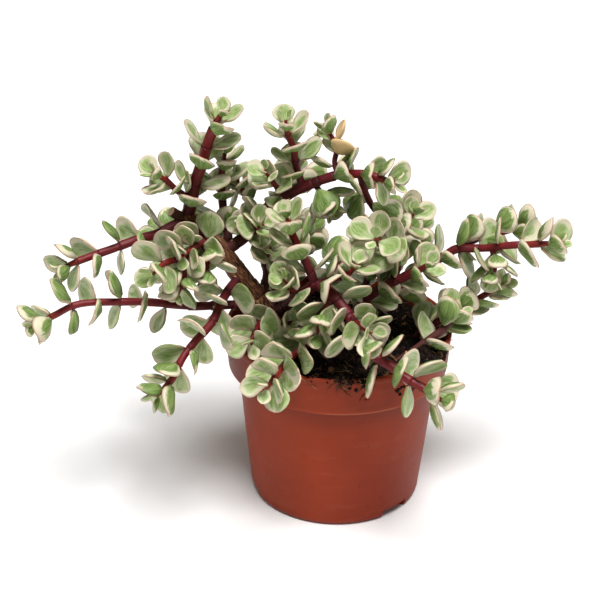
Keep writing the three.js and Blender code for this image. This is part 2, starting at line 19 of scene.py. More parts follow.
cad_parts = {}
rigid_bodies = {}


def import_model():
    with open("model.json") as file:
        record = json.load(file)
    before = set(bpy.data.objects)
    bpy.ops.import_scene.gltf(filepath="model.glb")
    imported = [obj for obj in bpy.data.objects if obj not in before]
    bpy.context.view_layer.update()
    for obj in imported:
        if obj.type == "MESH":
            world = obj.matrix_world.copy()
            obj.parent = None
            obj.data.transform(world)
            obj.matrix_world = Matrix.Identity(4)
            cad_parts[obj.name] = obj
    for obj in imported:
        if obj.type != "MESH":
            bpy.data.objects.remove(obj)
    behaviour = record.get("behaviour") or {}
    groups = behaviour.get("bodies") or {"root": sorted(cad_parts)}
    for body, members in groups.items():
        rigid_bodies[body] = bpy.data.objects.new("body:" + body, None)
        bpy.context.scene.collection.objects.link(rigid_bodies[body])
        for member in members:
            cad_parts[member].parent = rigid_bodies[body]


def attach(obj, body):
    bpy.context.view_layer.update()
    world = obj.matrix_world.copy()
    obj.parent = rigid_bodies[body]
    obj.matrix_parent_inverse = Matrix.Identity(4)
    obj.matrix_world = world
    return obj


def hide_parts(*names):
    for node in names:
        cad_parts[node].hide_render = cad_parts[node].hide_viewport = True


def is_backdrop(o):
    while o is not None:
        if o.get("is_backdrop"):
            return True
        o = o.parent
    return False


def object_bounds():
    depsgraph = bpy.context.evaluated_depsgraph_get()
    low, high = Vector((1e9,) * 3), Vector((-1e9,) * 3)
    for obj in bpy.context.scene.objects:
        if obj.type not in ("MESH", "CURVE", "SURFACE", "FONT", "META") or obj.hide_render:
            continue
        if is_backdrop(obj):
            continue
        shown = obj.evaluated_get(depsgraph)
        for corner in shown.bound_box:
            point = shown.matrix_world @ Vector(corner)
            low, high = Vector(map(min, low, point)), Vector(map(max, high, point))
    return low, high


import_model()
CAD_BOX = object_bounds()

LOG = logging.getLogger("bush")
MM = 0.001
BODY = "root"
UP = Vector((0, 0, 1))
Colour = tuple[float, float, float, float]
Point = tuple[float, float, float]
Pile = tuple[float, float, float, float]
LEAF_MAP = "leafmap"


class Slot(Enum):
    """The record's material slots."""

    POT = "pot"
    SOIL = "soil"
    BARK = "bark"
    STEM = "stem"
    LEAF = "leaf"


def screen(red: float, green: float, blue: float) -> Colour:
    """Turns a colour as a screen shows it into a shader's.

    Args:
        red: Its red, from 0 to 255.
        green: Its green.
        blue: Its blue.

    Returns:
        The colour in linear light.
    """

    def linear(value: float) -> float:
        """One channel in linear light."""
        share = value / 255
        return share / 12.92 if share <= 0.04045 else ((share + 0.055) / 1.055) ** 2.4

    return (linear(red), linear(green), linear(blue), 1.0)


def lerp(low: float, high: float, share: float) -> float:
    """The value at a share of the way from low to high."""
    return low + (high - low) * share


class Wire:
    """An output socket of a tree, on which Python's operators add Math nodes."""

    def __init__(self, board: "Board", socket: bpy.types.NodeSocket) -> None:
        """Wraps a socket of a board."""
        self.board = board
        self.socket = socket

    def math(self, operation: str, *values: "Wire | float") -> "Wire":
        """A Math node on these values in order."""
        return self.board.node("ShaderNodeMath", {"operation": operation}, dict(enumerate(values)))

    def __add__(self, other: "Wire | float") -> "Wire":
        """This and other, added."""
        return self.math("ADD", self, other)

    __radd__ = __add__

    def __sub__(self, other: "Wire | float") -> "Wire":
        """This less other."""
        return self.math("SUBTRACT", self, other)

    def __rsub__(self, other: "Wire | float") -> "Wire":
        """Other less this."""
        return self.math("SUBTRACT", other, self)

    def __mul__(self, other: "Wire | float") -> "Wire":
        """This times other."""
        return self.math("MULTIPLY", self, other)

    __rmul__ = __mul__


class Board:
    """A node tree that one method fills."""

    def __init__(self, tree: bpy.types.NodeTree) -> None:
        """Starts on a tree."""
        self.tree = tree

    def node(
        self,
        kind: str,
        settings: dict[str, object] | None = None,
        inputs: dict[str | int, object] | None = None,
        output: int | str = 0,
    ) -> Wire:
        """Adds one node.

        Args:
            kind: The node's type.
            settings: Its properties, set before its sockets. stops holds a ramp's (place, colour) pairs.
            inputs: Wires or values, by a socket's name or number.
            output: The output to give back, by its name or number.

        Returns:
            The wire from that output.
        """
        made = self.tree.nodes.new(kind)
        for name, value in (settings or {}).items():
            if name == "stops":
                self._fill_ramp(made.color_ramp, value)
            else:
                setattr(made, name, value)
        for name, value in (inputs or {}).items():
            if isinstance(value, Wire):
                self.tree.links.new(value.socket, made.inputs[name])
            else:
                made.inputs[name].default_value = value
        return Wire(self, made.outputs[output] if len(made.outputs) else None)

    @staticmethod
    def _fill_ramp(ramp: bpy.types.ColorRamp, stops: Sequence[tuple[float, Colour]]) -> None:
        """Gives a ramp its stops.

        Args:
            ramp: The ramp.
            stops: The place and colour of each stop.
        """
        while len(ramp.elements) < len(stops):
            ramp.elements.new(0.5)
        for element, (place, colour) in zip(ramp.elements, stops):
            element.position = place
            element.color = colour

    def join(self, x: "Wire | float", y: "Wire | float", z: "Wire | float") -> Wire:
        """A vector from three numbers."""
        return self.node("ShaderNodeCombineXYZ", {}, {0: x, 1: y, 2: z})

    def split(self, vector: Wire) -> tuple[Wire, Wire, Wire]:
        """The three numbers of a vector."""
        made = self.node("ShaderNodeSeparateXYZ", {}, {0: vector}).socket.node
        return tuple(Wire(self, made.outputs[i]) for i in range(3))


class Paint(Board):
    """A material's nodes."""

    def __init__(self, name: str) -> None:
        """Starts a new material by this name.

        Args:
            name: The material's name.
        """
        self.material = bpy.data.materials.new(name)
        self.material.use_nodes = True
        super().__init__(self.material.node_tree)
        self.shader = self.tree.nodes["Principled BSDF"]
        self.place = self.node("ShaderNodeTexCoord", {}, {}, "Object")

    def attribute(self, name: str, output: str = "Fac") -> Wire:
        """A value that the piece's mesh holds by this name."""
        return self.node("ShaderNodeAttribute", {"attribute_name": name}, {}, output)

    def noise(self, vector: Wire, scale: float, detail: float = 2, rough: float = 0.5) -> Wire:
        """A cloudy value about 0.5 from a noise of this scale."""
        inputs = {"Vector": vector, "Scale": scale, "Detail": detail, "Roughness": rough}
        return self.node("ShaderNodeTexNoise", {}, inputs, 0)

    def spots(self, vector: Wire, scale: float, randomness: float = 1.0) -> Wire:
        """The distance from the nearest of scattered points."""
        inputs = {"Vector": vector, "Scale": scale, "Randomness": randomness}
        return self.node("ShaderNodeTexVoronoi", {}, inputs, "Distance")

    def stretched(self, vector: Wire, x: float, y: float, z: float) -> Wire:
        """A vector with each of its numbers multiplied."""
        return self.node("ShaderNodeVectorMath", {"operation": "MULTIPLY"}, {0: vector, 1: (x, y, z)})

    def step(self, value: Wire, low: "Wire | float", high: "Wire | float") -> Wire:
        """0 under low and 1 over high, with a smooth rise between."""
        settings = {"interpolation_type": "SMOOTHSTEP", "clamp": True}
        return self.node("ShaderNodeMapRange", settings, {0: value, 1: low, 2: high})

    def mix(self, share: "Wire | float", low: "Wire | Colour", high: "Wire | Colour") -> Wire:
        """The colour at a share of the way from low to high."""
        settings = {"data_type": "RGBA", "clamp_factor": True}
        return self.node("ShaderNodeMix", settings, {0: share, 6: low, 7: high}, 2)

    def finish(
        self, base: Wire, roughness: Wire, height: Wire, depth: float, **constants: object
    ) -> bpy.types.Material:
        """Sets the shader's sockets.

        Args:
            base: The colour.
            roughness: The roughness.
            height: The relief, from 0 to 1.
            depth: What a relief of 1 measures, in millimetres.
            constants: Other sockets that are the same all over, with _ for a space.

        Returns:
            The material.
        """
        bump = self.node("ShaderNodeBump", {}, {"Strength": 1.0, "Distance": depth * MM, "Height": height})
        for name, wire in {"Base Color": base, "Roughness": roughness, "Normal": bump}.items():
            self.tree.links.new(wire.socket, self.shader.inputs[name])
        for name, value in constants.items():
            self.shader.inputs[name.replace("_", " ")].default_value = value
        return self.material


class Recipe(Board):
    """A Geometry Nodes tree with named inputs, which starts from a geometry and ends in one."""

    def __init__(self, name: str) -> None:
        """Starts a new tree by this name.

        Args:
            name: The tree's name.
        """
        super().__init__(bpy.data.node_groups.new(name, "GeometryNodeTree"))
        face = self.tree.interface
        face.new_socket("Geometry", in_out="INPUT", socket_type="NodeSocketGeometry")
        face.new_socket("Geometry", in_out="OUTPUT", socket_type="NodeSocketGeometry")
        self.entry = self.tree.nodes.new("NodeGroupInput")
        self.identifiers: dict[str, str] = {}

    def start(self) -> Wire:
        """The geometry that the tree is given."""
        return Wire(self, self.entry.outputs["Geometry"])

    def input(self, name: str, kind: str) -> Wire:
        """Adds a named input.

        Args:
            name: Its name.
            kind: Its socket type, such as Float.

        Returns:
            The input's wire.
        """
        made = self.tree.interface.new_socket(name, in_out="INPUT", socket_type="NodeSocket" + kind)
        self.identifiers[name] = made.identifier
        return Wire(self, self.entry.outputs[name])

    def attribute(self, name: str, data_type: str = "FLOAT") -> Wire:
        """A named attribute of the geometry."""
        return self.node("GeometryNodeInputNamedAttribute", {"data_type": data_type}, {"Name": name})

    def store(self, geometry: Wire, name: str, value: Wire, domain: str, data_type: str = "FLOAT") -> Wire:
        """Keeps a value on the geometry by a name.

        Args:
            geometry: The geometry.
            name: The name.
            value: The value.
            domain: What has a value each, such as POINT.
            data_type: The type of the value.

        Returns:
            The geometry with the value.
        """
        settings = {"data_type": data_type, "domain": domain}
        inputs = {"Geometry": geometry, "Name": name, "Value": value}
        return self.node("GeometryNodeStoreNamedAttribute", settings, inputs)

    def end(self, geometry: Wire) -> None:
        """Closes the tree: real geometry, smooth, with the material of the input named Material.

        Args:
            geometry: What the tree has made.
        """
        material = self.input("Material", "Material")
        real = self.node("GeometryNodeRealizeInstances", {}, {0: geometry})
        smooth = self.node("GeometryNodeSetShadeSmooth", {}, {0: real})
        dressed = self.node("GeometryNodeSetMaterial", {}, {"Geometry": smooth, "Material": material})
        self.tree.links.new(dressed.socket, self.tree.nodes.new("NodeGroupOutput").inputs[0])

    def grow(self, name: str, mesh: bpy.types.Mesh, **inputs: object) -> bpy.types.Object:
        """Runs the tree on a mesh.

        Args:
            name: The name of the piece.
            mesh: What the tree starts from.
            inputs: A value for each named input, with _ for a space.

        Returns:
            An object in the scene with a plain mesh.
        """
        seedling = placed(name + "_seedling", mesh)
        modifier = seedling.modifiers.new("grow", "NODES")
        modifier.node_group = self.tree
        for key, value in inputs.items():
            modifier[self.identifiers[key.replace("_", " ")]] = value
        grown = evaluated(seedling)
        discard(seedling)
        return placed(name, grown)


def placed(name: str, mesh: bpy.types.Mesh) -> bpy.types.Object:
    """Puts a mesh in the scene, at the origin.

    Args:
        name: The name of its object.
        mesh: The mesh.

    Returns:
        The object.
    """
    mesh.name = name
    made = bpy.data.objects.new(name, mesh)
    bpy.context.scene.collection.objects.link(made)
    return made


def evaluated(thing: bpy.types.Object) -> bpy.types.Mesh:
    """Applies an object's modifiers.

    Args:
        thing: The object, which stays as it is.

    Returns:
        A plain mesh.
    """
    graph = bpy.context.evaluated_depsgraph_get()
    graph.update()
    source = thing.evaluated_get(graph)
    return bpy.data.meshes.new_from_object(source, preserve_all_data_layers=True, depsgraph=graph)


def discard(thing: bpy.types.Object) -> None:
    """Removes an object and its mesh.

    Args:
        thing: The object.
    """
    mesh = thing.data
    bpy.data.objects.remove(thing)
    bpy.data.meshes.remove(mesh)


def mesh_of(
    name: str,
    points: Iterable[Sequence[float]],
    faces: Sequence[Sequence[int]] = (),
    edges: Sequence[Sequence[int]] = (),
) -> bpy.types.Mesh:
    """Makes a mesh from points in millimetres.

    Args:
        name: Its name.
        points: The points.
        faces: The points of each face.
        edges: The points of each loose edge.

    Returns:
        The mesh.
    """
    made = bpy.data.meshes.new(name)
    made.from_pydata([tuple(c * MM for c in point) for point in points], edges, faces)
    made.validate()
    return made


def note(
    mesh: bpy.types.Mesh, name: str, values: Iterable, kind: str = "FLOAT", domain: str = "POINT"
) -> None:
    """Keeps values on a mesh as an attribute.

    Args:
        mesh: The mesh.
        name: The attribute's name.
        values: Its values in order.
        kind: Its type.
        domain: What has a value each.
    """
    layer = mesh.attributes.new(name, kind, domain)
    key = "vector" if kind == "FLOAT_VECTOR" else "value"
    number = np.int32 if kind == "INT" else np.float32
    layer.data.foreach_set(key, np.asarray(list(values), number).ravel())


def settle(piece: bpy.types.Object, slot: Slot, *nodes: str) -> None:
    """Joins a finished piece to the frame.

    Args:
        piece: The piece, in its place.
        slot: The material slot meant for its finish. It is not used.
        nodes: The CAD nodes that it stands for.
    """
    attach(piece, BODY)
    if nodes:
        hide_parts(*nodes)
    LOG.info("%s: %d faces", piece.name, len(piece.data.polygons))


def around(radius: float, angle: float, height: float) -> Point:
    """The point at a radius from +Z, an angle in radians and a height."""
    return (radius * math.cos(angle), radius * math.sin(angle), height)


def lathe(profile: Sequence[tuple[float, float]], sides: int) -> tuple[list[Point], list[list[int]]]:
    """Turns a profile about +Z.

    Args:
        profile: Its points, each a radius and a height. A radius of 0 makes a pole.
        sides: The number of sides.

    Returns:
        The points and the faces.
    """
    points: list[Point] = []
    rings: list[list[int]] = []
    for radius, height in profile:
        count = sides if radius else 1
        rings.append([len(points) + i % count for i in range(sides)])
        points += [around(radius, 2 * math.pi * i / sides, height) for i in range(count)]
    faces = []
    for low, high in zip(rings, rings[1:]):
        for i in range(sides):
            j = (i + 1) % sides
            faces.append(list(dict.fromkeys([low[i], low[j], high[j], high[i]])))
    return points, faces


def arc(
    x: float, z: float, radius: float, start: float, stop: float, steps: int
) -> list[tuple[float, float]]:
    """Points of an arc about (x, z) between two angles in degrees."""
    angles = np.radians(np.linspace(start, stop, steps + 1))
    return [(x + radius * math.cos(a), z + radius * math.sin(a)) for a in angles]


@dataclass(frozen=True)
class LeafFinish:
    """A thick leaf: green strokes inside an uneven cream band and a thin pinkish margin."""

    green: Colour = screen(132, 154, 88)
    # pale mint green: partly the leaf's own mottling, partly a painted sheen where it patches the upper
    # face
    mint_and_sheen: Colour = screen(200, 210, 168)
    stroke: Colour = screen(80, 108, 42)
    young: Colour = screen(140, 166, 88)
    cream: Colour = screen(213, 206, 178)
    blush: Colour = screen(214, 180, 160)
    margin: Colour = screen(164, 102, 84)
    under: Colour = screen(94, 120, 56)
    under_pale: Colour = screen(130, 152, 86)
    dried: Colour = screen(216, 184, 134)

    def material(self) -> bpy.types.Material:
        """Builds the material from the leaf's own map and its attributes.

        Returns:
            The material.
        """
        paint = Paint("variegated_leaf")
        across, along, _ = paint.split(paint.node("ShaderNodeUVMap", {"uv_map": LEAF_MAP}))
        seed, tint, share, lopsided, dry, rim, under = (
            paint.attribute(name) for name in ("seed", "tint", "cream", "side", "dry", "rim", "under")
        )
        streak = paint.noise(paint.join(across * 10, along * 1.6, seed * 37), 1.0, 3)
        wisp = paint.noise(paint.join(across * 22, along * 2.4, seed * 53), 1.0, 2)
        patch = paint.noise(paint.join(across * 3.2, along * 2.4, seed * 71), 1.0, 2)
        lean = (across - 0.5) * lopsided * 0.28
        swing = paint.noise(paint.join(across * 2.2, along * 2, seed * 19), 1.0, 1)
        band = (share * (swing * 0.9 - 0.24) + lean + 0.012) * paint.step(along, 0.02, 0.4)
        ragged = rim + (streak - 0.5) * 0.24 + (wisp - 0.5) * 0.06
        inside = paint.step(ragged, band - 0.02, band + 0.045)
        # cloudy pale patches here and in the wisps below: partly real mottling, partly a painted sheen
        green = paint.mix(paint.step(patch, 0.42, 0.66) * 0.6, self.green, self.mint_and_sheen)
        green = paint.mix(paint.step(streak, 0.5, 0.68) * 0.6, green, self.stroke)
        green = paint.mix(tint * 0.5, green, self.young)
        green = paint.mix(paint.step(wisp, 0.52, 0.68) * 0.5, green, self.mint_and_sheen)
        green = paint.mix(paint.step(ragged, band + 0.14, band + 0.02) * 0.5, green, self.mint_and_sheen)
        cream = paint.mix(paint.step(rim, 0.06, 0.0) * 0.4, self.cream, self.blush)
        upper = paint.mix(inside, cream, green)
        lower = paint.mix(paint.step(streak, 0.36, 0.66), self.under, self.under_pale)
        lower = paint.mix(paint.step(wisp, 0.54, 0.7) * 0.3, lower, self.mint_and_sheen)
        lower = paint.mix(paint.step(ragged, band * 0.8 - 0.02, band * 0.8 + 0.05), cream, lower)
        skin = paint.mix(under, upper, lower)
        skin = paint.mix(paint.step(rim + (wisp - 0.5) * 0.012, 0.017, 0.0) * 0.75, skin, self.margin)
        skin = paint.mix(dry * paint.step(patch + dry * 0.4, 0.4, 0.75), skin, self.dried)
        roughness = 0.34 + patch * 0.22
        relief = streak * 0.6 + wisp * 0.4
        return paint.finish(
            skin,
            roughness,
            relief,
            0.16,
            Subsurface_Weight=0.06,
            Subsurface_Radius=(0.7, 1.0, 0.35),
            Subsurface_Scale=1.0 * MM,
            Specular_IOR_Level=0.28,
        )


@dataclass(frozen=True)
class StemFinish:
    """A satin burgundy stem, red-brown at its young end and brown at its old one, ringed at the nodes."""

    name: str = "burgundy_stem"
    young: Colour = screen(132, 44, 28)
    ripe: Colour = screen(112, 16, 24)
    mature: Colour = screen(80, 20, 27)
    old: Colour = screen(86, 56, 40)
    groove: Colour = screen(36, 8, 10)
    bloom: Colour = screen(132, 62, 74)
    cut: Colour = screen(206, 168, 138)

    def material(self) -> bpy.types.Material:
        """Builds the material from the attributes along the stem.

        Returns:
            The material.
        """
        paint = Paint(self.name)
        age, ring, reach, cut = (paint.attribute(name) for name in ("age", "ring", "reach", "cut"))
        x, y, _ = paint.split(paint.attribute("round", "Vector"))
        fibre = paint.noise(paint.join(x * 3.2, y * 3.2, reach * 0.09), 1.6, 4)
        cloud = paint.noise(paint.place, 170, 3)
        stops = [(0.0, self.young), (0.2, self.ripe), (0.6, self.mature), (1.0, self.old)]
        base = paint.node("ShaderNodeValToRGB", {"stops": stops}, {0: age + (cloud - 0.5) * 0.3}, 0)
        base = paint.mix(paint.step(fibre, 0.54, 0.78) * 0.34, base, self.bloom)
        base = paint.mix(paint.step(fibre, 0.46, 0.28) * (0.3 + age * 0.5), base, self.groove)
        base = paint.mix(ring * 0.5, base, self.groove)
        base = paint.mix(paint.step(cut, 0.3, 0.8), base, self.cut)
        roughness = 0.26 + cloud * 0.16 + age * 0.34
        relief = fibre * (0.3 + age) + cloud * 0.3 - ring * 0.5
        return paint.finish(base, roughness, relief, 0.4, Specular_IOR_Level=0.3)


@dataclass(frozen=True)
class BarkFinish:
    """Thin brown bark with lengthwise cracks."""

    ridge: Colour = screen(196, 150, 108)
    furrow: Colour = screen(58, 32, 20)
    skin: Colour = screen(142, 90, 60)

    def material(self) -> bpy.types.Material:
        """Builds the material from the attributes along the trunk.

        Returns:
            The material.
        """
        paint = Paint("trunk_bark")
        x, y, _ = paint.split(paint.attribute("round", "Vector"))
        fibre = paint.noise(paint.join(x * 3, y * 3, paint.attribute("reach") * 0.16), 2.0, 6, 0.68)
        cloud = paint.noise(paint.place, 120, 4)
        base = paint.mix(paint.step(fibre, 0.38, 0.6), self.furrow, self.skin)
        base = paint.mix(paint.step(fibre + (cloud - 0.5) * 0.5, 0.55, 0.72) * 0.8, base, self.ridge)
        return paint.finish(base, 0.62 + cloud * 0.3, fibre, 1.4, Specular_IOR_Level=0.3)


@dataclass(frozen=True)
class PotFinish:
    """Satin terracotta-coloured plastic with fine scratches, specks and a bloom of dried water.

    The band above its lower edge is darkened by a painted shade of the foliage above, in cloudy patches.
    The body just under that edge is darkened by a painted shade of the overhanging band. The edge itself
    has a pale line that is partly rubbed wear and partly a painted highlight.
    """

    plastic: Colour = screen(147, 52, 21)
    deep: Colour = screen(127, 42, 18)
    bloom: Colour = screen(160, 88, 60)
    speck_and_shade: Colour = screen(52, 24, 18)
    band_edge: float = 76.0

    def material(self) -> bpy.types.Material:
        """Builds the material from the pot's own coordinates.

        Returns:
            The material.
        """
        paint = Paint("nursery_pot_plastic")
        cloud = paint.noise(paint.place, 16, 4)
        grain = paint.noise(paint.place, 900, 3)
        rubbed = paint.noise(paint.stretched(paint.place, 1, 1, 3), 42, 5, 0.62)
        scratch = paint.noise(paint.stretched(paint.place, 0.5, 0.5, 2.6), 420, 1)
        scratch = paint.step(scratch, 0.69, 0.74) * paint.step(rubbed, 0.48, 0.62)
        specks = paint.step(paint.spots(paint.place, 150), 0.085, 0.05) * paint.step(cloud, 0.45, 0.56)
        base = paint.mix(paint.step(cloud, 0.3, 0.7), self.plastic, self.deep)
        base = paint.mix(paint.step(rubbed, 0.5, 0.75) * 0.22, base, self.bloom)
        base = paint.mix(scratch * 0.28, base, self.bloom)
        height = paint.split(paint.place)[2] * (1 / MM) - self.band_edge
        # painted shade: the body darkens up to the band's lower edge, as if shaded by the overhanging band
        band_underside_shade = paint.step(height, -16.0, -0.2) * paint.step(height, 0.4, -0.2)
        # painted shade: the band above its lower edge is darkened in cloudy patches, as if shaded by the
        # foliage
        band_painted_shade = paint.step(height, 0.2, 3.0) * (0.2 + paint.step(cloud, 0.4, 0.62) * 0.22)
        # both painted shades darken towards the speck colour, which also colours the real specks
        base = paint.mix(band_underside_shade * 0.4 + band_painted_shade, base, self.speck_and_shade)
        # a pale line along the band's lower edge: partly rubbed wear, partly a painted highlight
        edge_wear_and_highlight = paint.step(height, -0.2, 0.2) * paint.step(height, 1.2, 0.6)
        base = paint.mix(edge_wear_and_highlight * paint.step(rubbed, 0.36, 0.56) * 0.7, base, self.bloom)
        base = paint.mix(specks * 0.8, base, self.speck_and_shade)
        roughness = 0.38 + rubbed * 0.22
        relief = grain * 0.4 + rubbed * 0.3 - scratch * 0.3
        return paint.finish(base, roughness, relief, 0.12, Specular_IOR_Level=0.15)


@dataclass(frozen=True)
class SoilFinish:
    """Dark moist potting mix, of which some grains and fibres are paler."""

    name: str = "potting_mix"
    dark: Colour = screen(15, 11, 9)
    brown: Colour = screen(44, 31, 23)
    pale: Colour = screen(124, 92, 66)
    pale_share: float = 0.08

    def material(self) -> bpy.types.Material:
        """Builds the material from the soil's coordinates and each grain's own number.

        Returns:
            The material.
        """
        paint = Paint(self.name)
        seed = paint.attribute("seed")
        cloud = paint.noise(paint.place, 240, 5, 0.65)
        crumb = paint.noise(paint.place, 1400, 3)
        base = paint.mix(paint.step(cloud + (seed - 0.5) * 0.3, 0.42, 0.68), self.dark, self.brown)
        base = paint.mix(paint.step(seed, 1 - self.pale_share, 1.0) * 0.9, base, self.pale)
        relief = cloud * 0.6 + crumb * 0.4
        return paint.finish(base, 0.78 + crumb * 0.2, relief, 0.9, Specular_IOR_Level=0.12)


@dataclass(frozen=True)
class FloorFinish:
    """White studio paper."""

    paper: Colour = (0.93, 0.93, 0.93, 1.0)
    shade: Colour = (0.9, 0.9, 0.9, 1.0)

    def material(self) -> bpy.types.Material:
        """Builds the material.

        Returns:
            The material.
        """
        paint = Paint("white_paper")
        cloud = paint.noise(paint.place, 3, 2)
        base = paint.mix(cloud, self.paper, self.shade)
        return paint.finish(base, 0.8 + cloud * 0.1, cloud, 0.05, Specular_IOR_Level=0.2)


@dataclass(frozen=True)
class Pairs:
    """The leaf pairs of a shoot: the place and turn of the first, the gap between them and a leaf's length.

    A leaf leans spread degrees off the stem and lifts a little to the light. The pairs at the tip lean by
    opened degrees more than usual. The leaves numbered in dried are dry.
    """

    first: float
    gap: float
    turn: float
    leaf: float
    spread: float = 62.0
    lift: float = 0.12
    opened: float = 0.0
    dried: tuple[int, ...] = ()


@dataclass(frozen=True)
class StemPlan:
    """A stem: what it grows from, its radii at the two ends, its route and its leaf pairs."""

    name: str
    on: str
    radii: tuple[float, float]
    route: tuple[Point, ...]
    pairs: Pairs | None = None


@dataclass(frozen=True)
class Spot:
    """A place along a stem and its directions there."""

    point: Vector
    along: Vector
    up: Vector
    side: Vector


class Route:
    """A smooth curve through a stem's points, with directions that don't twist along it."""

    STEEP = 0.8
    FINE = 24

    def __init__(self, points: Sequence[Point]) -> None:
        """Draws the curve.

        Args:
            points: The stem's points, from its root to its tip.
        """
        hand = [Vector(p) for p in points]
        ends = [2 * hand[0] - hand[1], *hand, 2 * hand[-1] - hand[-2]]
        line = [hand[0]]
        for a, b, c, d in zip(ends, ends[1:], ends[2:], ends[3:]):
            line += [self._between(a, b, c, d, (i + 1) / self.FINE) for i in range(self.FINE)]
        self.line = line
        self.reach = [0.0]
        for near, far in zip(line, line[1:]):
            self.reach.append(self.reach[-1] + (far - near).length)
        self.length = self.reach[-1]
        self.ups = self._carried()

    @staticmethod
    def _between(a: Vector, b: Vector, c: Vector, d: Vector, t: float) -> Vector:
        """Finds a point of the curve between b and c.

        Args:
            a: The point before b.
            b: Where this part starts.
            c: Where it ends.
            d: The point after c.
            t: The share of the way from b to c.

        Returns:
            The point.
        """
        start, stop = (c - a) / 2, (d - b) / 2
        bend = 3 * (c - b) - 2 * start - stop
        last = 2 * (b - c) + start + stop
        return b + start * t + bend * t * t + last * t**3

    def _along(self, i: int) -> Vector:
        """The direction of the curve at one of its fine points."""
        low, high = max(0, i - 1), min(len(self.line) - 1, i + 1)
        return (self.line[high] - self.line[low]).normalized()

    def _carried(self) -> list[Vector]:
        """Carries the up direction along from the start.

        Returns:
            The up direction at each fine point.
        """
        first = self._along(0)
        up = Vector((0, 0, 1)) if abs(first.z) < self.STEEP else Vector((0, -1, 0))
        ups = []
        for i in range(len(self.line)):
            along = self._along(i)
            up = (up - along * up.dot(along)).normalized()
            ups.append(up)
        return ups

    def spot(self, reach: float) -> Spot:
        """Finds a place along the curve, or past its ends in a straight line.

        Args:
            reach: The distance along.

        Returns:
            The place and its directions.
        """
        i = int(np.clip(np.searchsorted(self.reach, reach) - 1, 0, len(self.line) - 2))
        t = (reach - self.reach[i]) / (self.reach[i + 1] - self.reach[i])
        point = self.line[i].lerp(self.line[i + 1], t)
        blend = min(1.0, max(0.0, t))
        along = self._along(i).lerp(self._along(i + 1), blend).normalized()
        up = self.ups[i].lerp(self.ups[i + 1], blend)
        up = (up - along * up.dot(along)).normalized()
        return Spot(point, along, up, along.cross(up))


@dataclass
class Stem:
    """One stem with its rings, ready to be turned into a tube."""

    plan: StemPlan
    rings: list[float]
    old: float = 0.5
    fresh: float = 0.05
    cut: bool = False
    step: float = 1.6
    RING_STEPS = (-0.9, -0.35, -0.12, 0.08, 0.3, 0.8)
    swell: float = 0.075
    ring_width: float = 0.5
    tip_taper: float = 9.0
    tip_share: float = 0.45
    route: Route = field(init=False)

    def __post_init__(self) -> None:
        """Makes the route."""
        self.route = Route(self.plan.route)

    def radius(self, reach: float) -> float:
        """The radius at a place, with each stretch between two rings widening a little to its end.

        Args:
            reach: The distance along the stem.

        Returns:
            The radius there.
        """
        thick, thin = self.plan.radii
        plain = lerp(thick, thin, min(1.0, max(0.0, reach / self.route.length)))
        below = max((r for r in self.rings if r <= reach), default=0.0)
        above = min((r for r in self.rings if r > reach), default=self.route.length)
        share = (reach - below) / max(1e-6, above - below)
        taper = 1.0
        if self.plan.pairs:
            taper = lerp(self.tip_share, 1.0, min(1.0, (self.route.length - reach) / self.tip_taper))
        return plain * taper * (1 + self.swell * (2 * share - 1))

    def sections(self) -> list[tuple[float, float, float, float]]:
        """Divides the stem into sections, with closed ends.

        Returns:
            The reach, radius, ring and cut of each section.
        """
        length = self.route.length
        reaches = set(np.arange(0.6, length - 0.3, self.step))
        for ring in self.rings:
            reaches |= {ring + off for off in self.RING_STEPS if 0 < ring + off < length}
        rows = []
        for reach in sorted(reaches):
            nearest = min((abs(reach - ring) for ring in self.rings), default=9.0)
            rows.append((reach, self.radius(reach), math.exp(-((nearest / self.ring_width) ** 2)), 0.0))
        root, tip = self.radius(0), self.radius(length)
        start = [(-0.3, 0.02, 0.0, 0.0), (-0.15, 0.6 * root, 0.0, 0.0), (0.1, 0.98 * root, 0.0, 0.0)]
        if self.cut:
            end = [(0, 1.0, 0.0), (0.12, 0.94, 0.5), (0.2, 0.8, 1.0), (0.22, 0.3, 1.0), (0.24, 0.01, 1.0)]
        else:
            end = [(0, 0.96, 0.0), (0.35, 0.7, 0.0), (0.5, 0.35, 0.0), (0.55, 0.01, 0.0)]
        return start + rows + [(length + off, tip * share, 0.0, cut) for off, share, cut in end]

    def path(self) -> bpy.types.Mesh:
        """Draws the line that the tube follows, with what each section holds.

        Returns:
            A mesh of points and edges.
        """
        rows = self.sections()
        points = [self.route.spot(row[0]).point for row in rows]
        made = mesh_of(self.plan.name, points, edges=[(i, i + 1) for i in range(len(points) - 1)])
        note(made, "thick", [row[1] * MM for row in rows])
        note(made, "ring", [row[2] for row in rows])
        note(made, "cut", [row[3] for row in rows])
        note(made, "reach", [row[0] for row in rows])
        shares = [min(1.0, max(0.0, row[0] / self.route.length)) for row in rows]
        note(made, "age", [lerp(self.old, self.fresh, share) for share in shares])
        return made


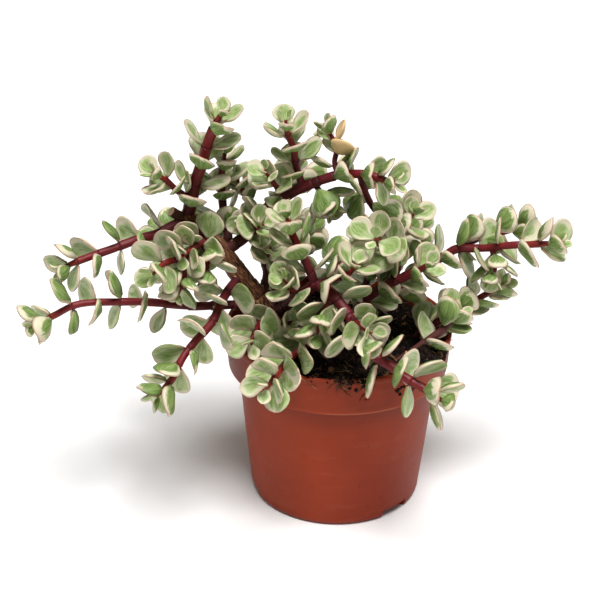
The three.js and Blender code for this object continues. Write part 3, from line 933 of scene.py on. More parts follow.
def tube_recipe() -> Recipe:
    """Builds the tree that sweeps a circle along a stem's line, with the radius that each point holds.

    Returns:
        The tree.
    """
    recipe = Recipe("stem_tube")
    sides = recipe.input("Sides", "Int")
    bark, grain = (recipe.input(name, "Float") for name in ("Bark", "Grain"))
    line = recipe.node("GeometryNodeMeshToCurve", {}, {0: recipe.start()})
    circle = recipe.node("GeometryNodeCurvePrimitiveCircle", {}, {"Resolution": sides, "Radius": 1.0})
    place = recipe.node("GeometryNodeInputPosition")
    circle = recipe.store(circle, "round", place, "POINT", "FLOAT_VECTOR")
    inputs = {"Curve": line, "Profile Curve": circle, "Scale": recipe.attribute("thick"), "Fill Caps": True}
    tube = recipe.node("GeometryNodeCurveToMesh", {}, inputs)
    x, y, _ = recipe.split(recipe.attribute("round", "FLOAT_VECTOR"))
    flute = recipe.join(x * 1.6, y * 1.6, recipe.attribute("reach") * 0.06)
    relief = recipe.node("ShaderNodeTexNoise", {}, {"Vector": flute, "Scale": grain, "Detail": 3.0}) - 0.5
    out = {0: recipe.node("GeometryNodeInputNormal"), "Scale": relief * bark}
    offset = recipe.node("ShaderNodeVectorMath", {"operation": "SCALE"}, out)
    recipe.end(recipe.node("GeometryNodeSetPosition", {}, {"Geometry": tube, "Offset": offset}))
    return recipe


@dataclass(frozen=True)
class LeafForm:
    """The shape of a leaf of length 1 that lies along +X with its upper face to +Z."""

    width: float = 0.44
    fold: float = 0.16
    cup: float = 0.12
    twist: float = 0.0
    wave: float = 0.0
    thick: float = 0.14
    obovate: float = 1.35
    neck_power: float = 0.85
    tip_power: float = 0.55

    STATIONS = (0.16, 0.4, 0.54, 0.66, 0.78, 0.89, 0.972)
    COLUMNS = (-1.0, -0.8, 0.0, 0.8, 1.0)

    def half_width(self, x: float) -> float:
        """Half the width at a distance along the leaf.

        Args:
            x: The distance along the leaf, from 0 to 1.

        Returns:
            Half the width there.
        """
        turn = x**self.obovate
        power = self.neck_power if turn < 0.5 else self.tip_power
        return self.width * max(0.0, math.sin(math.pi * turn)) ** power

    def surface(self, x: float, v: float, lower: bool) -> Point:
        """Finds a point of the upper or lower face.

        Args:
            x: The distance along the leaf.
            v: The share of the half width, from -1 to 1.
            lower: Whether it is on the lower face.

        Returns:
            The point.
        """
        half = self.half_width(x)
        y = v * half
        z = self.fold * abs(v) ** 1.4 * half + self.cup * x**2.2
        z += self.wave * math.sin(7 * x + 2.5 * v) * abs(v)
        z += math.tan(self.twist) * y * x
        if lower:
            body = (1 - abs(v) ** 5) * (0.45 + 0.55 * math.sin(math.pi * min(1.0, x) ** 0.9))
            z -= self.thick * body
        return (x - 0.35 * self.cup * x**2, y, z)

    def rim(self, x: float, v: float) -> float:
        """Measures how far a point is from the outline of the flat leaf.

        Args:
            x: The distance along the leaf.
            v: The share of the half width.

        Returns:
            The distance.
        """
        spot = np.array((x, v * self.half_width(x)))
        xs = np.linspace(0, 1, 41)
        edge = np.array([(s, self.half_width(s)) for s in xs])
        edge = np.vstack([edge, edge * (1, -1)])
        return float(np.min(np.linalg.norm(edge - spot, axis=1)))

    def mesh(self, name: str) -> bpy.types.Mesh:
        """Makes the leaf as a closed mesh with its map, and with its rim and under attributes.

        Args:
            name: The name of the mesh.

        Returns:
            The mesh.
        """
        points = [self.surface(0, 0, False)]
        flat = [(0.0, 0.0)]
        grid: dict[tuple[int, int, bool], int] = {}
        for lower in (False, True):
            for i, x in enumerate(self.STATIONS):
                for j, v in enumerate(self.COLUMNS):
                    if lower and abs(v) == 1:
                        grid[i, j, True] = grid[i, j, False]
                        continue
                    grid[i, j, lower] = len(points)
                    points.append(self.surface(x, v, lower))
                    flat.append((x, v))
        faces = self.faces(grid, len(points))
        points.append(self.surface(1, 0, False))
        flat.append((1.0, 0.0))
        made = bpy.data.meshes.new(name)
        made.from_pydata(points, [], faces)
        note(made, "rim", [0.0 if x in (0, 1) or abs(v) == 1 else self.rim(x, v) for x, v in flat])
        half = len(faces) // 2
        note(made, "under", [0.0] * half + [1.0] * half, domain="FACE")
        layer = made.uv_layers.new(name=LEAF_MAP)
        for loop, corner in zip(made.loops, layer.data):
            x, v = flat[loop.vertex_index]
            corner.uv = (0.5 + 0.5 * v, x)
        return made

    def faces(self, grid: dict[tuple[int, int, bool], int], tip: int) -> list[list[int]]:
        """Joins the grid's points by faces that look outwards, those of the upper side first.

        Args:
            grid: The number of each point, by its station, its column and whether it is lower.
            tip: The number of the tip.

        Returns:
            The points of each face.
        """
        faces = []
        last = len(self.STATIONS) - 1
        for lower in (False, True):
            for j in range(len(self.COLUMNS) - 1):
                left = [grid[i, j, lower] for i in range(last + 1)]
                right = [grid[i, j + 1, lower] for i in range(last + 1)]
                strip = [[left[0], right[0], 0]]
                strip += [[left[i], left[i + 1], right[i + 1], right[i]] for i in range(last)]
                strip.append([left[last], tip, right[last]])
                faces += [face[::-1] for face in strip] if lower else strip
        return faces


class Posture(Enum):
    """The forms that leaves are picked from, oldest first."""

    ROUND = LeafForm(width=0.47, fold=0.1, cup=0.06)
    SPOON = LeafForm()
    FLAT = LeafForm(width=0.45, fold=0.04, cup=0.03, wave=0.012)
    WAVY = LeafForm(width=0.45, fold=0.12, cup=-0.05, wave=0.04, twist=0.12)
    FOLDED = LeafForm(width=0.41, fold=0.5, cup=0.1)
    CURLED = LeafForm(width=0.43, fold=0.26, cup=0.26, twist=-0.16)
    YOUNG = LeafForm(width=0.38, fold=0.3, cup=0.18, thick=0.16)


@dataclass
class Leaf:
    """One leaf in its place, with what makes it unlike the others."""

    base: Vector
    along: Vector
    face: Vector
    length: float
    wide: float
    form: int
    seed: float
    tint: float
    cream: float
    side: float
    dry: float = 0.0

    SAMPLES = ((0.3, 0.0), (0.5, -0.6), (0.5, 0.0), (0.5, 0.6), (0.72, -0.75), (0.72, -0.3), (0.72, 0.3),
               (0.72, 0.75), (0.92, -0.4), (0.92, 0.0), (0.92, 0.4))

    def touch_points(self) -> np.ndarray:
        """Spreads points over the leaf, for telling whether it meets something.

        Returns:
            The points, one a row.
        """
        across = self.face.cross(self.along)
        rows = []
        for x, v in self.SAMPLES:
            half = 0.44 * self.wide * v
            rows.append(self.base + self.length * (self.along * x + across * half + self.face * (0.06 * x)))
        return np.array([tuple(row) for row in rows])


class Crowd:
    """What leaves have to keep clear of: each other, the stems, the pot and the soil.

    KEPT_OPEN holds places with their radii, through which the photograph shows a stem.
    """

    LEAF_CLEAR = 2.3
    WOOD_CLEAR = 1.2
    WOOD_WEIGHT = 1.5
    OPEN_WEIGHT = 4.0
    SOLID_COST = 4.0
    NEAR = 21.0
    STEM_STEP = 1.5
    KEPT_OPEN = (
        (-88.0, -6.0, 165.0, 10.0),
        (-60.0, -11.0, 143.0, 8.0),
        (-52.0, -13.0, 132.0, 8.0),
        (-44.0, -15.0, 121.0, 8.0),
        (-17.0, -38.0, 150.0, 5.0),
        (-4.0, -46.0, 137.5, 6.0),
        (3.0, -53.0, 131.5, 5.0),
    )

    def __init__(self, soil: "Soil", pot: "Pot") -> None:
        """Starts with the soil and the pot alone.

        Args:
            soil: The soil.
            pot: The pot.
        """
        self.soil = soil
        self.pot = pot
        self.centres = np.zeros((0, 3))
        self.points = np.zeros((0, len(Leaf.SAMPLES), 3))
        self.wood: list[tuple[np.ndarray, np.ndarray]] = []

    def add_stem(self, stem: Stem) -> None:
        """Counts a stem in.

        Args:
            stem: The stem.
        """
        reaches = np.arange(0, stem.route.length, self.STEM_STEP)
        points = np.array([tuple(stem.route.spot(reach).point) for reach in reaches])
        self.wood.append((points, np.array([stem.radius(reach) for reach in reaches])))

    def add_leaf(self, leaf: Leaf) -> None:
        """Counts a leaf in.

        Args:
            leaf: The leaf.
        """
        points = leaf.touch_points()
        self.centres = np.vstack([self.centres, points.mean(0)[None]])
        self.points = np.vstack([self.points, points[None]])

    @staticmethod
    def meeting(
        points: np.ndarray, others: np.ndarray, clear: float, radii: np.ndarray | float = 0.0
    ) -> float:
        """The sum over all pairs of points of 1 where they meet, down to 0 at the distance clear."""
        gaps = np.linalg.norm(points[:, None] - others[None], axis=2) - radii
        return float(np.clip(1 - gaps / clear, 0, None).sum())

    def in_solid(self, x: float, y: float, z: float) -> int:
        """Counts which of the pot's wall and the soil a point is in, or almost in.

        Args:
            x: The point's x.
            y: Its y.
            z: Its height.

        Returns:
            0, 1 or 2.
        """
        radius = math.hypot(x, y)
        wall = self.pot.inner_radius(z) - 1 < radius < self.pot.outer_radius(z) + 1.5
        in_pot = z < self.pot.height + 1 and wall
        in_soil = radius < self.pot.rim and z < self.soil.height(x, y) + 1.5
        return in_pot + in_soil

    def cost(self, leaf: Leaf) -> float:
        """Tells how badly a leaf would meet what is there.

        Args:
            leaf: The leaf.

        Returns:
            0 if it is clear of everything, and more the more it meets.
        """
        points = leaf.touch_points()
        near = np.linalg.norm(self.centres - points.mean(0), axis=1) < self.NEAR
        total = self.meeting(points, self.points[near].reshape(-1, 3), self.LEAF_CLEAR)
        for line, radii in self.wood:
            total += self.WOOD_WEIGHT * self.meeting(points, line, self.WOOD_CLEAR, radii)
        for *place, clear in self.KEPT_OPEN:
            total += self.OPEN_WEIGHT * self.meeting(points, np.array([place]), clear)
        return total + self.SOLID_COST * sum(self.in_solid(*point) for point in points)


def leaf_recipe() -> Recipe:
    """Builds the tree that sets a leaf form on each point, turned and sized as the point says.

    Returns:
        The tree.
    """
    recipe = Recipe("leaf_setter")
    forms = recipe.input("Forms", "Collection")
    source = {"Collection": forms, "Separate Children": True, "Reset Children": True}
    inputs = {
        "Points": recipe.start(),
        "Instance": recipe.node("GeometryNodeCollectionInfo", {}, source),
        "Pick Instance": True,
        "Instance Index": recipe.attribute("form", "INT"),
        "Rotation": recipe.attribute("turn", "QUATERNION"),
        "Scale": recipe.attribute("size", "FLOAT_VECTOR"),
    }
    recipe.end(recipe.node("GeometryNodeInstanceOnPoints", {}, inputs))
    return recipe


def hidden_collection(name: str, meshes: Sequence[bpy.types.Mesh]) -> bpy.types.Collection:
    """Makes a collection outside the scene, of objects that a tree may copy.

    Args:
        name: Its name.
        meshes: The objects' meshes.

    Returns:
        The collection.
    """
    made = bpy.data.collections.new(name)
    for mesh in meshes:
        made.objects.link(bpy.data.objects.new(mesh.name, mesh))
    return made


def clear_collection(collection: bpy.types.Collection) -> None:
    """Removes such a collection with its objects.

    Args:
        collection: The collection.
    """
    for thing in list(collection.objects):
        discard(thing)
    bpy.data.collections.remove(collection)


def turn_of(along: Vector, face: Vector) -> tuple[float, ...]:
    """The turn, as a quaternion, that brings +X to along and +Z to face."""
    return tuple(Matrix((along, face.cross(along), face)).transposed().to_quaternion())


@dataclass
class Pot:
    """A thin round nursery pot: a band at the rim, and pockets with drain holes in its rounded foot."""

    height: float = 97.0
    rim: float = 60.0
    band_height: float = 21.0
    band_low: float = 58.4
    body_top: float = 53.0
    foot: float = 46.0
    foot_rounding: float = 3.2
    wall: float = 1.4
    lip: float = 2.2
    edge: float = 0.7
    body_bulge: float = 0.25
    sides: int = 144
    pockets: int = 3
    pocket_turn: float = -46.0
    pocket_half: float = 11.0
    pocket_inner: float = 35.0
    pocket_height: float = 4.9
    drain: float = 2.6
    drain_at: float = 40.5
    drain_cut: tuple[float, float] = (-2.0, 9.0)
    drain_sides: int = 24
    finish: PotFinish = PotFinish()

    @property
    def band_bottom(self) -> float:
        """The height of the band's lower edge."""
        return self.height - self.band_height

    def outer_radius(self, z: float) -> float:
        """The radius of the outside at a height.

        Args:
            z: The height.

        Returns:
            The radius of the outside there.
        """
        if z >= self.band_bottom:
            return lerp(self.band_low, self.rim, min(1.0, (z - self.band_bottom) / self.band_height))
        return lerp(self.foot, self.body_top, max(0.0, z - self.foot_rounding) / self.band_bottom)

    def inner_radius(self, z: float) -> float:
        """The radius of the inside at a height."""
        return self.outer_radius(z) - self.wall

    def profile(self) -> list[tuple[float, float]]:
        """Draws the section of the shell, from the middle of its base round to the middle of its floor.

        Returns:
            Its points, each a radius and a height.
        """
        low, top, curve = self.band_bottom, self.height, self.foot_rounding
        section = [(0, 0), (20, 0), (self.foot - curve - 0.4, 0)]
        section += arc(self.foot - curve, curve, curve, -90, -8, 7)
        for t in (0.02, 0.25, 0.5, 0.75, 0.98):
            bulge = self.body_bulge * math.sin(math.pi * t)
            section.append((lerp(self.foot, self.body_top, t) + bulge, lerp(curve, low - 1.4, t)))
        section += [(self.body_top + 0.5, low - 0.5), (self.body_top + 1.6, low - 0.1)]
        section += arc(self.band_low - self.edge, low + 0.6, self.edge, -90, 0, 4)
        section += [(lerp(self.band_low, self.rim, t), lerp(low, top, t)) for t in (0.08, 0.4, 0.8)]
        section += [(self.rim - 0.3, top - 3.2), (self.rim - 0.1, top - 2.6), (self.rim, top - 2.2)]
        section += arc(self.rim - self.edge, top - self.edge, self.edge, 0, 90, 5)
        section += arc(self.rim - self.lip + self.edge, top - self.edge, self.edge, 90, 180, 5)
        section.append((self.rim - self.lip - 0.3, top - 3))
        section.append((self.band_low - self.wall, low + self.wall))
        section.append((self.body_top - self.wall, low + self.wall - 1))
        section.append((self.foot - self.wall, curve + self.wall))
        return section + [(self.foot - curve, self.wall), (20, self.wall), (0, self.wall)]

    @staticmethod
    def wedge(
        radii: tuple[float, float], heights: tuple[float, float], angle: float, half: float
    ) -> bpy.types.Object:
        """Makes a cutter in the shape of a wedge of a ring.

        Args:
            radii: Its inner and outer radius.
            heights: Its lower and upper height.
            angle: The angle of its middle, in degrees.
            half: Half the angle that it covers.

        Returns:
            The cutter.
        """
        turns = [math.radians(angle + half * (i / 3 - 1)) for i in range(7)]
        inner, outer = radii
        ring = [(inner, turn) for turn in turns] + [(outer, turn) for turn in reversed(turns)]
        points = [around(radius, turn, height) for height in heights for radius, turn in ring]
        count = len(ring)
        sides = [[i, i + count, (i + 1) % count + count, (i + 1) % count] for i in range(count)]
        faces = [list(range(count)), [count + i for i in reversed(range(count))], *sides]
        return placed("wedge", mesh_of("wedge", points, faces))

    @staticmethod
    def clean(mesh: bpy.types.Mesh) -> None:
        """Makes triangles of the faces with many sides, and removes those without area.

        Args:
            mesh: The mesh.
        """
        close = 0.005 * MM
        work = bmesh.new()
        work.from_mesh(mesh)
        bmesh.ops.remove_doubles(work, verts=work.verts, dist=close)
        bmesh.ops.triangulate(work, faces=[face for face in work.faces if len(face.verts) > 4])
        bmesh.ops.dissolve_degenerate(work, edges=work.edges, dist=close)
        work.to_mesh(mesh)
        work.free()

    def cutters(self, angle: float) -> list[tuple[bpy.types.Object, str]]:
        """Makes the shapes that cut one pocket and its drain hole.

        Args:
            angle: The pocket's angle, in degrees.

        Returns:
            Each shape with how it is used.
        """
        half = self.pocket_half + math.degrees(self.wall / self.pocket_inner)
        inner, top = self.pocket_inner, self.pocket_height
        roof_radii = (inner - self.wall, self.foot - 1.1)
        roof = self.wedge(roof_radii, (self.wall / 2, top + self.wall), angle, half)
        hollow = self.wedge((inner, self.foot + 5), (-1, top), angle, self.pocket_half)
        low, high = self.drain_cut
        profile = [(0, low), (self.drain, low), (self.drain, high), (0, high)]
        points, faces = lathe(profile, self.drain_sides)
        dx, dy, _ = around(self.drain_at, math.radians(angle), 0)
        drain = placed("drain", mesh_of("drain", [(x + dx, y + dy, z) for x, y, z in points], faces))
        return [(roof, "UNION"), (hollow, "DIFFERENCE"), (drain, "DIFFERENCE")]

    def build(self) -> None:
        """Makes the shell, its pockets and its drains."""
        points, faces = lathe(self.profile(), self.sides)
        shell = placed("pot_shell_raw", mesh_of("pot_shell_raw", points, faces))
        angles = [self.pocket_turn + 360 / self.pockets * i for i in range(self.pockets)]
        tools = [row for angle in angles for row in self.cutters(angle)]
        for tool, operation in tools:
            modifier = shell.modifiers.new(operation, "BOOLEAN")
            modifier.operation = operation
            modifier.solver = "EXACT"
            modifier.object = tool
        mesh = evaluated(shell)
        for tool, _ in tools:
            discard(tool)
        discard(shell)
        self.clean(mesh)
        mesh.shade_smooth()
        mesh.set_sharp_from_angle(angle=math.radians(38))
        mesh.materials.clear()
        mesh.materials.append(self.finish.material())
        settle(placed("nursery_pot", mesh), Slot.POT, "pot")


class Crumb(Enum):
    """The kinds of crumb in the soil."""

    GRAIN = "grain"
    CHIP = "chip"
    FIBRE = "fibre"


class Mix(Enum):
    """The soil's finishes, by the names of its fields that hold them."""

    PLAIN = "finish"
    CHIPS = "chip_finish"
    FIBRES = "fibre_finish"


@dataclass(frozen=True)
class Litter:
    """Crumbs of one kind, strewn on the soil's whole top or on a spill over the rim.

    The density is in crumbs per square metre, the sizes are the smallest and the largest, and the tilt is
    the most that a crumb is turned, in radians. The spill holds what Soil.spill is given.
    """

    name: str
    crumb: Crumb
    mix: Mix
    density: float
    sizes: tuple[float, float]
    tilt: float
    seed: int
    spill: tuple[float, ...] = ()


FORMS_PER_CRUMB = 3
LITTER = (
    Litter("soil_grains", Crumb.GRAIN, Mix.PLAIN, 200_000.0, (0.9, 2.9), 3.0, 0),
    Litter("soil_bark_chips", Crumb.CHIP, Mix.CHIPS, 16_000.0, (3.0, 6.5), 0.7, 20),
    Litter("soil_fibre_litter", Crumb.FIBRE, Mix.FIBRES, 24_000.0, (5.0, 14.0), 0.5, 40),
    Litter("front_clump_grains", Crumb.GRAIN, Mix.PLAIN, 700_000.0, (0.6, 2.6), 3.0, 60, (-93, -75, 1.2)),
    Litter("front_clump_fibres", Crumb.FIBRE, Mix.FIBRES, 170_000.0, (5.0, 12.0), 0.3, 61, (-92, -76, 6.0)),
    Litter("front_clump_chips", Crumb.CHIP, Mix.PLAIN, 50_000.0, (2.5, 5.0), 0.3, 62, (-90, -77, 5.0)),
    Litter("front_loose_threads", Crumb.FIBRE, Mix.PLAIN, 30_000.0, (5.0, 9.0), 0.2, 63, (-79, -70, 5, 6)),
    Litter("right_clump_grains", Crumb.GRAIN, Mix.PLAIN, 160_000.0, (0.8, 2.4), 3.0, 64, (-63, -49, 4, 8)),
    Litter("right_clump_chips", Crumb.CHIP, Mix.PLAIN, 70_000.0, (2.0, 4.2), 0.3, 65, (-62, -50, 3, 9)),
    Litter("right_heap_grains", Crumb.GRAIN, Mix.PLAIN, 700_000.0, (1.0, 3.4), 3.0, 66, (-46, -20, 4.0)),
    Litter("right_heap_chips", Crumb.CHIP, Mix.CHIPS, 80_000.0, (2.5, 5.5), 0.6, 67, (-45, -22, 6.0)),
    Litter("right_heap_fibres", Crumb.FIBRE, Mix.FIBRES, 60_000.0, (4.0, 8.0), 0.5, 68, (-44, -22, 4.0)),
    Litter("rim_crumbs", Crumb.GRAIN, Mix.PLAIN, 130_000.0, (0.5, 1.7), 3.0, 69, (-112, -42, 0.8)),
    Litter("rim_fibres", Crumb.FIBRE, Mix.FIBRES, 20_000.0, (3.0, 9.0), 0.4, 70, (-108, -45, 3.0)),
)


@dataclass
class Soil:
    """The soil: an uneven top, and the grains, fibres and bark chips on it and spilled over the rim.

    The heaps and brims are round piles, each with its middle's x and y, its height and its radius. Leaves
    keep clear of the heaps.
    """

    pot: Pot
    level: float = 88.0
    rings: int = 44
    sides: int = 112
    heaps: tuple[Pile, ...] = ((-28, -4, 4, 20), (44, -34, 5, 22), (-6, -50, 3.5, 16))
    brims: tuple[Pile, ...] = ((49, -29, 8.0, 11), (6, -54, 3.5, 12), (26, -50, 2.5, 12))
    seed: int = 7
    finish: SoilFinish = SoilFinish()
    chip_finish: SoilFinish = SoilFinish(
        "bark_chips", screen(34, 22, 15), screen(70, 46, 30), screen(112, 80, 54), 0.2
    )
    fibre_finish: SoilFinish = SoilFinish(
        "soil_fibres", screen(52, 36, 24), screen(108, 78, 52), screen(164, 130, 92), 0.3
    )

    @staticmethod
    def piled(x: float, y: float, piles: Sequence[Pile]) -> float:
        """How much the piles raise the top at a place."""
        return sum(h * math.exp(-((x - cx) ** 2 + (y - cy) ** 2) / s**2) for cx, cy, h, s in piles)

    def height(self, x: float, y: float) -> float:
        """The height of the soil's top at a place, without its crumbs."""
        wave = 1.1 * math.sin(x / 5.1 + 1) * math.cos(y / 6.3) + 0.8 * math.sin(x / 2.9 - y / 4.1)
        return self.level + wave + self.piled(x, y, self.heaps)

    def crumbled(self, x: float, y: float) -> float:
        """Finds the height of the soil's top with its crumbs.

        Args:
            x: The place's x.
            y: Its y.

        Returns:
            The height.
        """
        lumps = noise.noise(Vector((x, y, 3)) * 0.23) * 1.5 + noise.noise(Vector((x, y, 9)) * 0.62) * 0.9
        lumps += self.piled(x, y, self.brims)
        return self.height(x, y) + lumps + noise.noise(Vector((x, y, 5)) * 1.5) * 0.35

    def top(self) -> tuple[list[Point], list[list[int]]]:
        """Makes the top as rings of points about its middle.

        Returns:
            The points and the faces.
        """
        edge = self.pot.rim - self.pot.lip - 0.9
        points: list[Point] = [(0, 0, self.crumbled(0, 0))]
        faces = []
        for ring in range(1, self.rings + 1):
            for side in range(self.sides):
                x, y, _ = around(edge * ring / self.rings, 2 * math.pi * side / self.sides, 0)
                points.append((x, y, self.crumbled(x, y)))
        for side in range(self.sides):
            following = (side + 1) % self.sides
            faces.append([0, 1 + side, 1 + following])
            for ring in range(self.rings - 1):
                low, high = 1 + ring * self.sides, 1 + (ring + 1) * self.sides
                faces.append([low + side, high + side, high + following, low + following])
        return points, faces

    def build_body(self) -> None:
        """Makes the soil as one closed body."""
        points, faces = self.top()
        brim = [1 + (self.rings - 1) * self.sides + side for side in range(self.sides)]
        pot, gap = self.pot, 1.9
        rows = [
            (pot.band_low - gap, pot.band_bottom + 2.2),
            (pot.body_top - gap, pot.band_bottom + 0.6),
            (pot.foot - gap, 6.5),
            (pot.pocket_inner - 2, 6.0),
        ]
        for radius, z in rows:
            start = len(points)
            points += [around(radius, 2 * math.pi * side / self.sides, z) for side in range(self.sides)]
            for side in range(self.sides):
                following = (side + 1) % self.sides
                faces.append([brim[side], start + side, start + following, brim[following]])
            brim = [start + side for side in range(self.sides)]
        faces.append(brim[::-1])
        mesh = mesh_of("soil_body", points, faces)
        note(mesh, "seed", [0.4] * len(mesh.vertices))
        mesh.shade_smooth()
        mesh.materials.append(self.finish.material())
        settle(placed("soil_body", mesh), Slot.SOIL, "soil")

    def rock(self, name: str, seed: int, flat: float) -> bpy.types.Mesh:
        """Makes a lump of 20 faces, about 1 across.

        Args:
            name: Its name.
            seed: What its shape follows from.
            flat: How high it is for its width.

        Returns:
            The mesh.
        """
        golden = (1 + 5**0.5) / 2
        corners = [(s, t * golden, 0) for s in (-1, 1) for t in (-1, 1)]
        points = [Vector(p[i:] + p[:i]) for i in range(3) for p in corners]
        rng = np.random.default_rng(seed)
        shaped = []
        for point in points:
            point = point.normalized() * rng.uniform(0.34, 0.58)
            shaped.append((point.x, point.y * rng.uniform(0.7, 1), point.z * flat))
        made = bpy.data.meshes.new(name)
        made.from_pydata(shaped, [], self.hull(points))
        return made

    @staticmethod
    def hull(points: Sequence[Vector]) -> list[tuple[int, int, int]]:
        """Joins the 12 corners of an icosahedron.

        Args:
            points: The corners.

        Returns:
            The faces, turned outwards.
        """
        edge = min((a - b).length for i, a in enumerate(points) for b in points[:i]) * 1.01
        turned = []
        for a, b, c in combinations(range(len(points)), 3):
            sides = (points[b] - points[a], points[c] - points[a], points[c] - points[b])
            if max(side.length for side in sides) > edge:
                continue
            outward = sides[0].cross(sides[1]).dot(points[a]) > 0
            turned.append((a, b, c) if outward else (a, c, b))
        return turned

    @staticmethod
    def fibre(name: str, seed: int) -> bpy.types.Mesh:
        """Makes a bent thread, 1 long, of three sides.

        Args:
            name: Its name.
            seed: What its bends follow from.

        Returns:
            The mesh.
        """
        bends = np.random.default_rng(seed).uniform(-0.5, 0.5, 3)
        steps, sides = 8, 3
        points = []
        for i in range(steps + 1):
            t = i / steps
            y = 0.05 * math.sin(math.pi * t * (1.5 + bends[0])) + 0.1 * bends[1] * t
            z = 0.02 * math.sin(2.4 * math.pi * t) + 0.02
            thick = 0.028 * (0.35 + math.sin(math.pi * min(0.95, max(0.05, t))) * 0.65)
            for k in range(sides):
                angle = 2 * math.pi * k / sides
                points.append((t - 0.5, y + thick * math.cos(angle), z + thick * math.sin(angle)))
        faces = []
        for start in range(0, steps * sides, sides):
            for k in range(sides):
                low, high = start + k, start + (k + 1) % sides
                faces.append([low, high, high + sides, low + sides])
        faces += [[2, 1, 0], [steps * sides, steps * sides + 1, steps * sides + 2]]
        made = bpy.data.meshes.new(name)
        made.from_pydata(points, [], faces)
        return made

    @staticmethod
    def litter_recipe() -> Recipe:
        """Builds the tree that strews copies over a surface, at random turns and sizes.

        Returns:
            The tree.
        """
        recipe = Recipe("soil_litter")
        forms = recipe.input("Forms", "Collection")
        density, small, large = (recipe.input(name, "Float") for name in ("Density", "Smallest", "Largest"))
        seed = recipe.input("Seed", "Int")
        tilt = recipe.input("Tilt", "Float")
        source = {"Mesh": recipe.start(), "Density": density, "Seed": seed}
        strewn = recipe.node("GeometryNodeDistributePointsOnFaces", {}, source)
        lying = Wire(recipe, strewn.socket.node.outputs["Rotation"])

        def chance(low: "Wire | float", high: "Wire | float", shift: int) -> Wire:
            """A random number for each point."""
            inputs = {2: low, 3: high, "Seed": seed + shift}
            return recipe.node("FunctionNodeRandomValue", {"data_type": "FLOAT"}, inputs, 1)

        spin = recipe.join(chance(0.0, 1.0, 1) * tilt, chance(0.0, 1.0, 2) * tilt, chance(0.0, 6.283, 3))
        turn = recipe.node("FunctionNodeEulerToRotation", {}, {0: spin})
        turn = recipe.node("FunctionNodeRotateRotation", {"rotation_space": "LOCAL"}, {0: lying, 1: turn})
        choice = {4: 0, 5: FORMS_PER_CRUMB - 1, "Seed": seed}
        which = recipe.node("FunctionNodeRandomValue", {"data_type": "INT"}, choice, 2)
        inputs = {
            "Points": strewn,
            "Instance": recipe.node("GeometryNodeCollectionInfo", {}, {0: forms, 1: True, 2: True}),
            "Pick Instance": True,
            "Rotation": turn,
            "Instance Index": which,
            "Scale": chance(small, large, 4),
        }
        copies = recipe.node("GeometryNodeInstanceOnPoints", {}, inputs)
        recipe.end(recipe.store(copies, "seed", chance(0.0, 1.0, 5), "INSTANCE"))
        return recipe

    def spill(self, start: float, stop: float, drop: float, hang: float = 0.0) -> bpy.types.Mesh:
        """A patch over the rim or on the band, that crumbs have spilled on.

        Args:
            start: The angle where it starts, in degrees.
            stop: The angle where it ends.
            drop: How far it reaches down the band, in millimetres.
            hang: How far under the rim it starts, or 0 if it starts on the soil.

        Returns:
            The patch.
        """
        rim, top = self.pot.rim, self.pot.height
        over = ((-5.5, -6), (-2.6, -1.5), (-1.0, 0.15), (0.12, -1.2))
        rows = [(rim + out, top + up) for out, up in over]
        lows = [hang + 1.2 + drop * 0.5, hang + 1.2 + drop]
        if hang:
            rows, lows = [], [hang, *lows]
        rows += [(self.pot.outer_radius(top - low), top - low) for low in lows]
        count = 12
        turns = [math.radians(lerp(start, stop, i / count)) for i in range(count + 1)]
        points = [around(radius, turn, z) for radius, z in rows for turn in turns]
        faces = []
        for low in range(0, (len(rows) - 1) * (count + 1), count + 1):
            for a in range(low + 1, low + count + 1):
                b = a + count + 1
                faces.append([a - 1, b - 1, b, a])
        return mesh_of("spill", points, faces)

    def build_litter(self) -> None:
        """Makes the grains, chips and fibres."""
        recipe = self.litter_recipe()
        top = self.top()
        count = range(FORMS_PER_CRUMB)
        forms = {
            Crumb.GRAIN: [self.rock(f"grain_{i}", self.seed + i, 0.8) for i in count],
            Crumb.CHIP: [self.rock(f"chip_{i}", 40 + i, 0.28) for i in count],
            Crumb.FIBRE: [self.fibre(f"thread_{i}", 60 + i) for i in count],
        }
        forms = {crumb: hidden_collection(crumb.value, meshes) for crumb, meshes in forms.items()}
        finishes = {mix: getattr(self, mix.value).material() for mix in Mix}
        for litter in LITTER:
            bed = self.spill(*litter.spill) if litter.spill else mesh_of(litter.name, *top)
            small, large = litter.sizes
            piece = recipe.grow(
                litter.name,
                bed,
                Forms=forms[litter.crumb],
                Density=litter.density,
                Smallest=small * MM,
                Largest=large * MM,
                Seed=self.seed + litter.seed,
                Tilt=litter.tilt,
                Material=finishes[litter.mix],
            )
            settle(piece, Slot.SOIL)
        for collection in forms.values():
            clear_collection(collection)


BARE = (
    StemPlan("trunk", "soil", (6.4, 5.7), (
        (-22, -6, 58), (-27, -6, 83), (-33, -6, 93), (-38, -5, 104), (-43, -4, 115))),
    StemPlan("limb_left", "trunk", (5.6, 4.1), (
        (-43, -4, 115), (-52, -2, 126), (-61, 0, 139), (-71, 2, 149), (-80, 3, 158))),
    StemPlan("limb_middle", "trunk", (2.8, 1.9), (
        (-42, -4, 113), (-38, 6, 122), (-40, 10, 130), (-43, 14, 140), (-47, 18, 156))),
    StemPlan("limb_right", "limb_left", (3.3, 2.8), (
        (-61, 0, 139), (-55, 2, 142), (-48, 5, 147), (-38, 8, 160), (-24, 8, 170), (-15, 7, 175))),
    StemPlan("limb_front", "trunk", (3.2, 3.0), (
        (-37, -6, 103), (-28, -18, 117), (-21, -26, 127), (-12, -32, 137))),
    StemPlan("stub_cut", "limb_left", (2.9, 2.6), (
        (-79, 3, 156), (-83, 1, 158), (-87, -1, 161.5))),
)

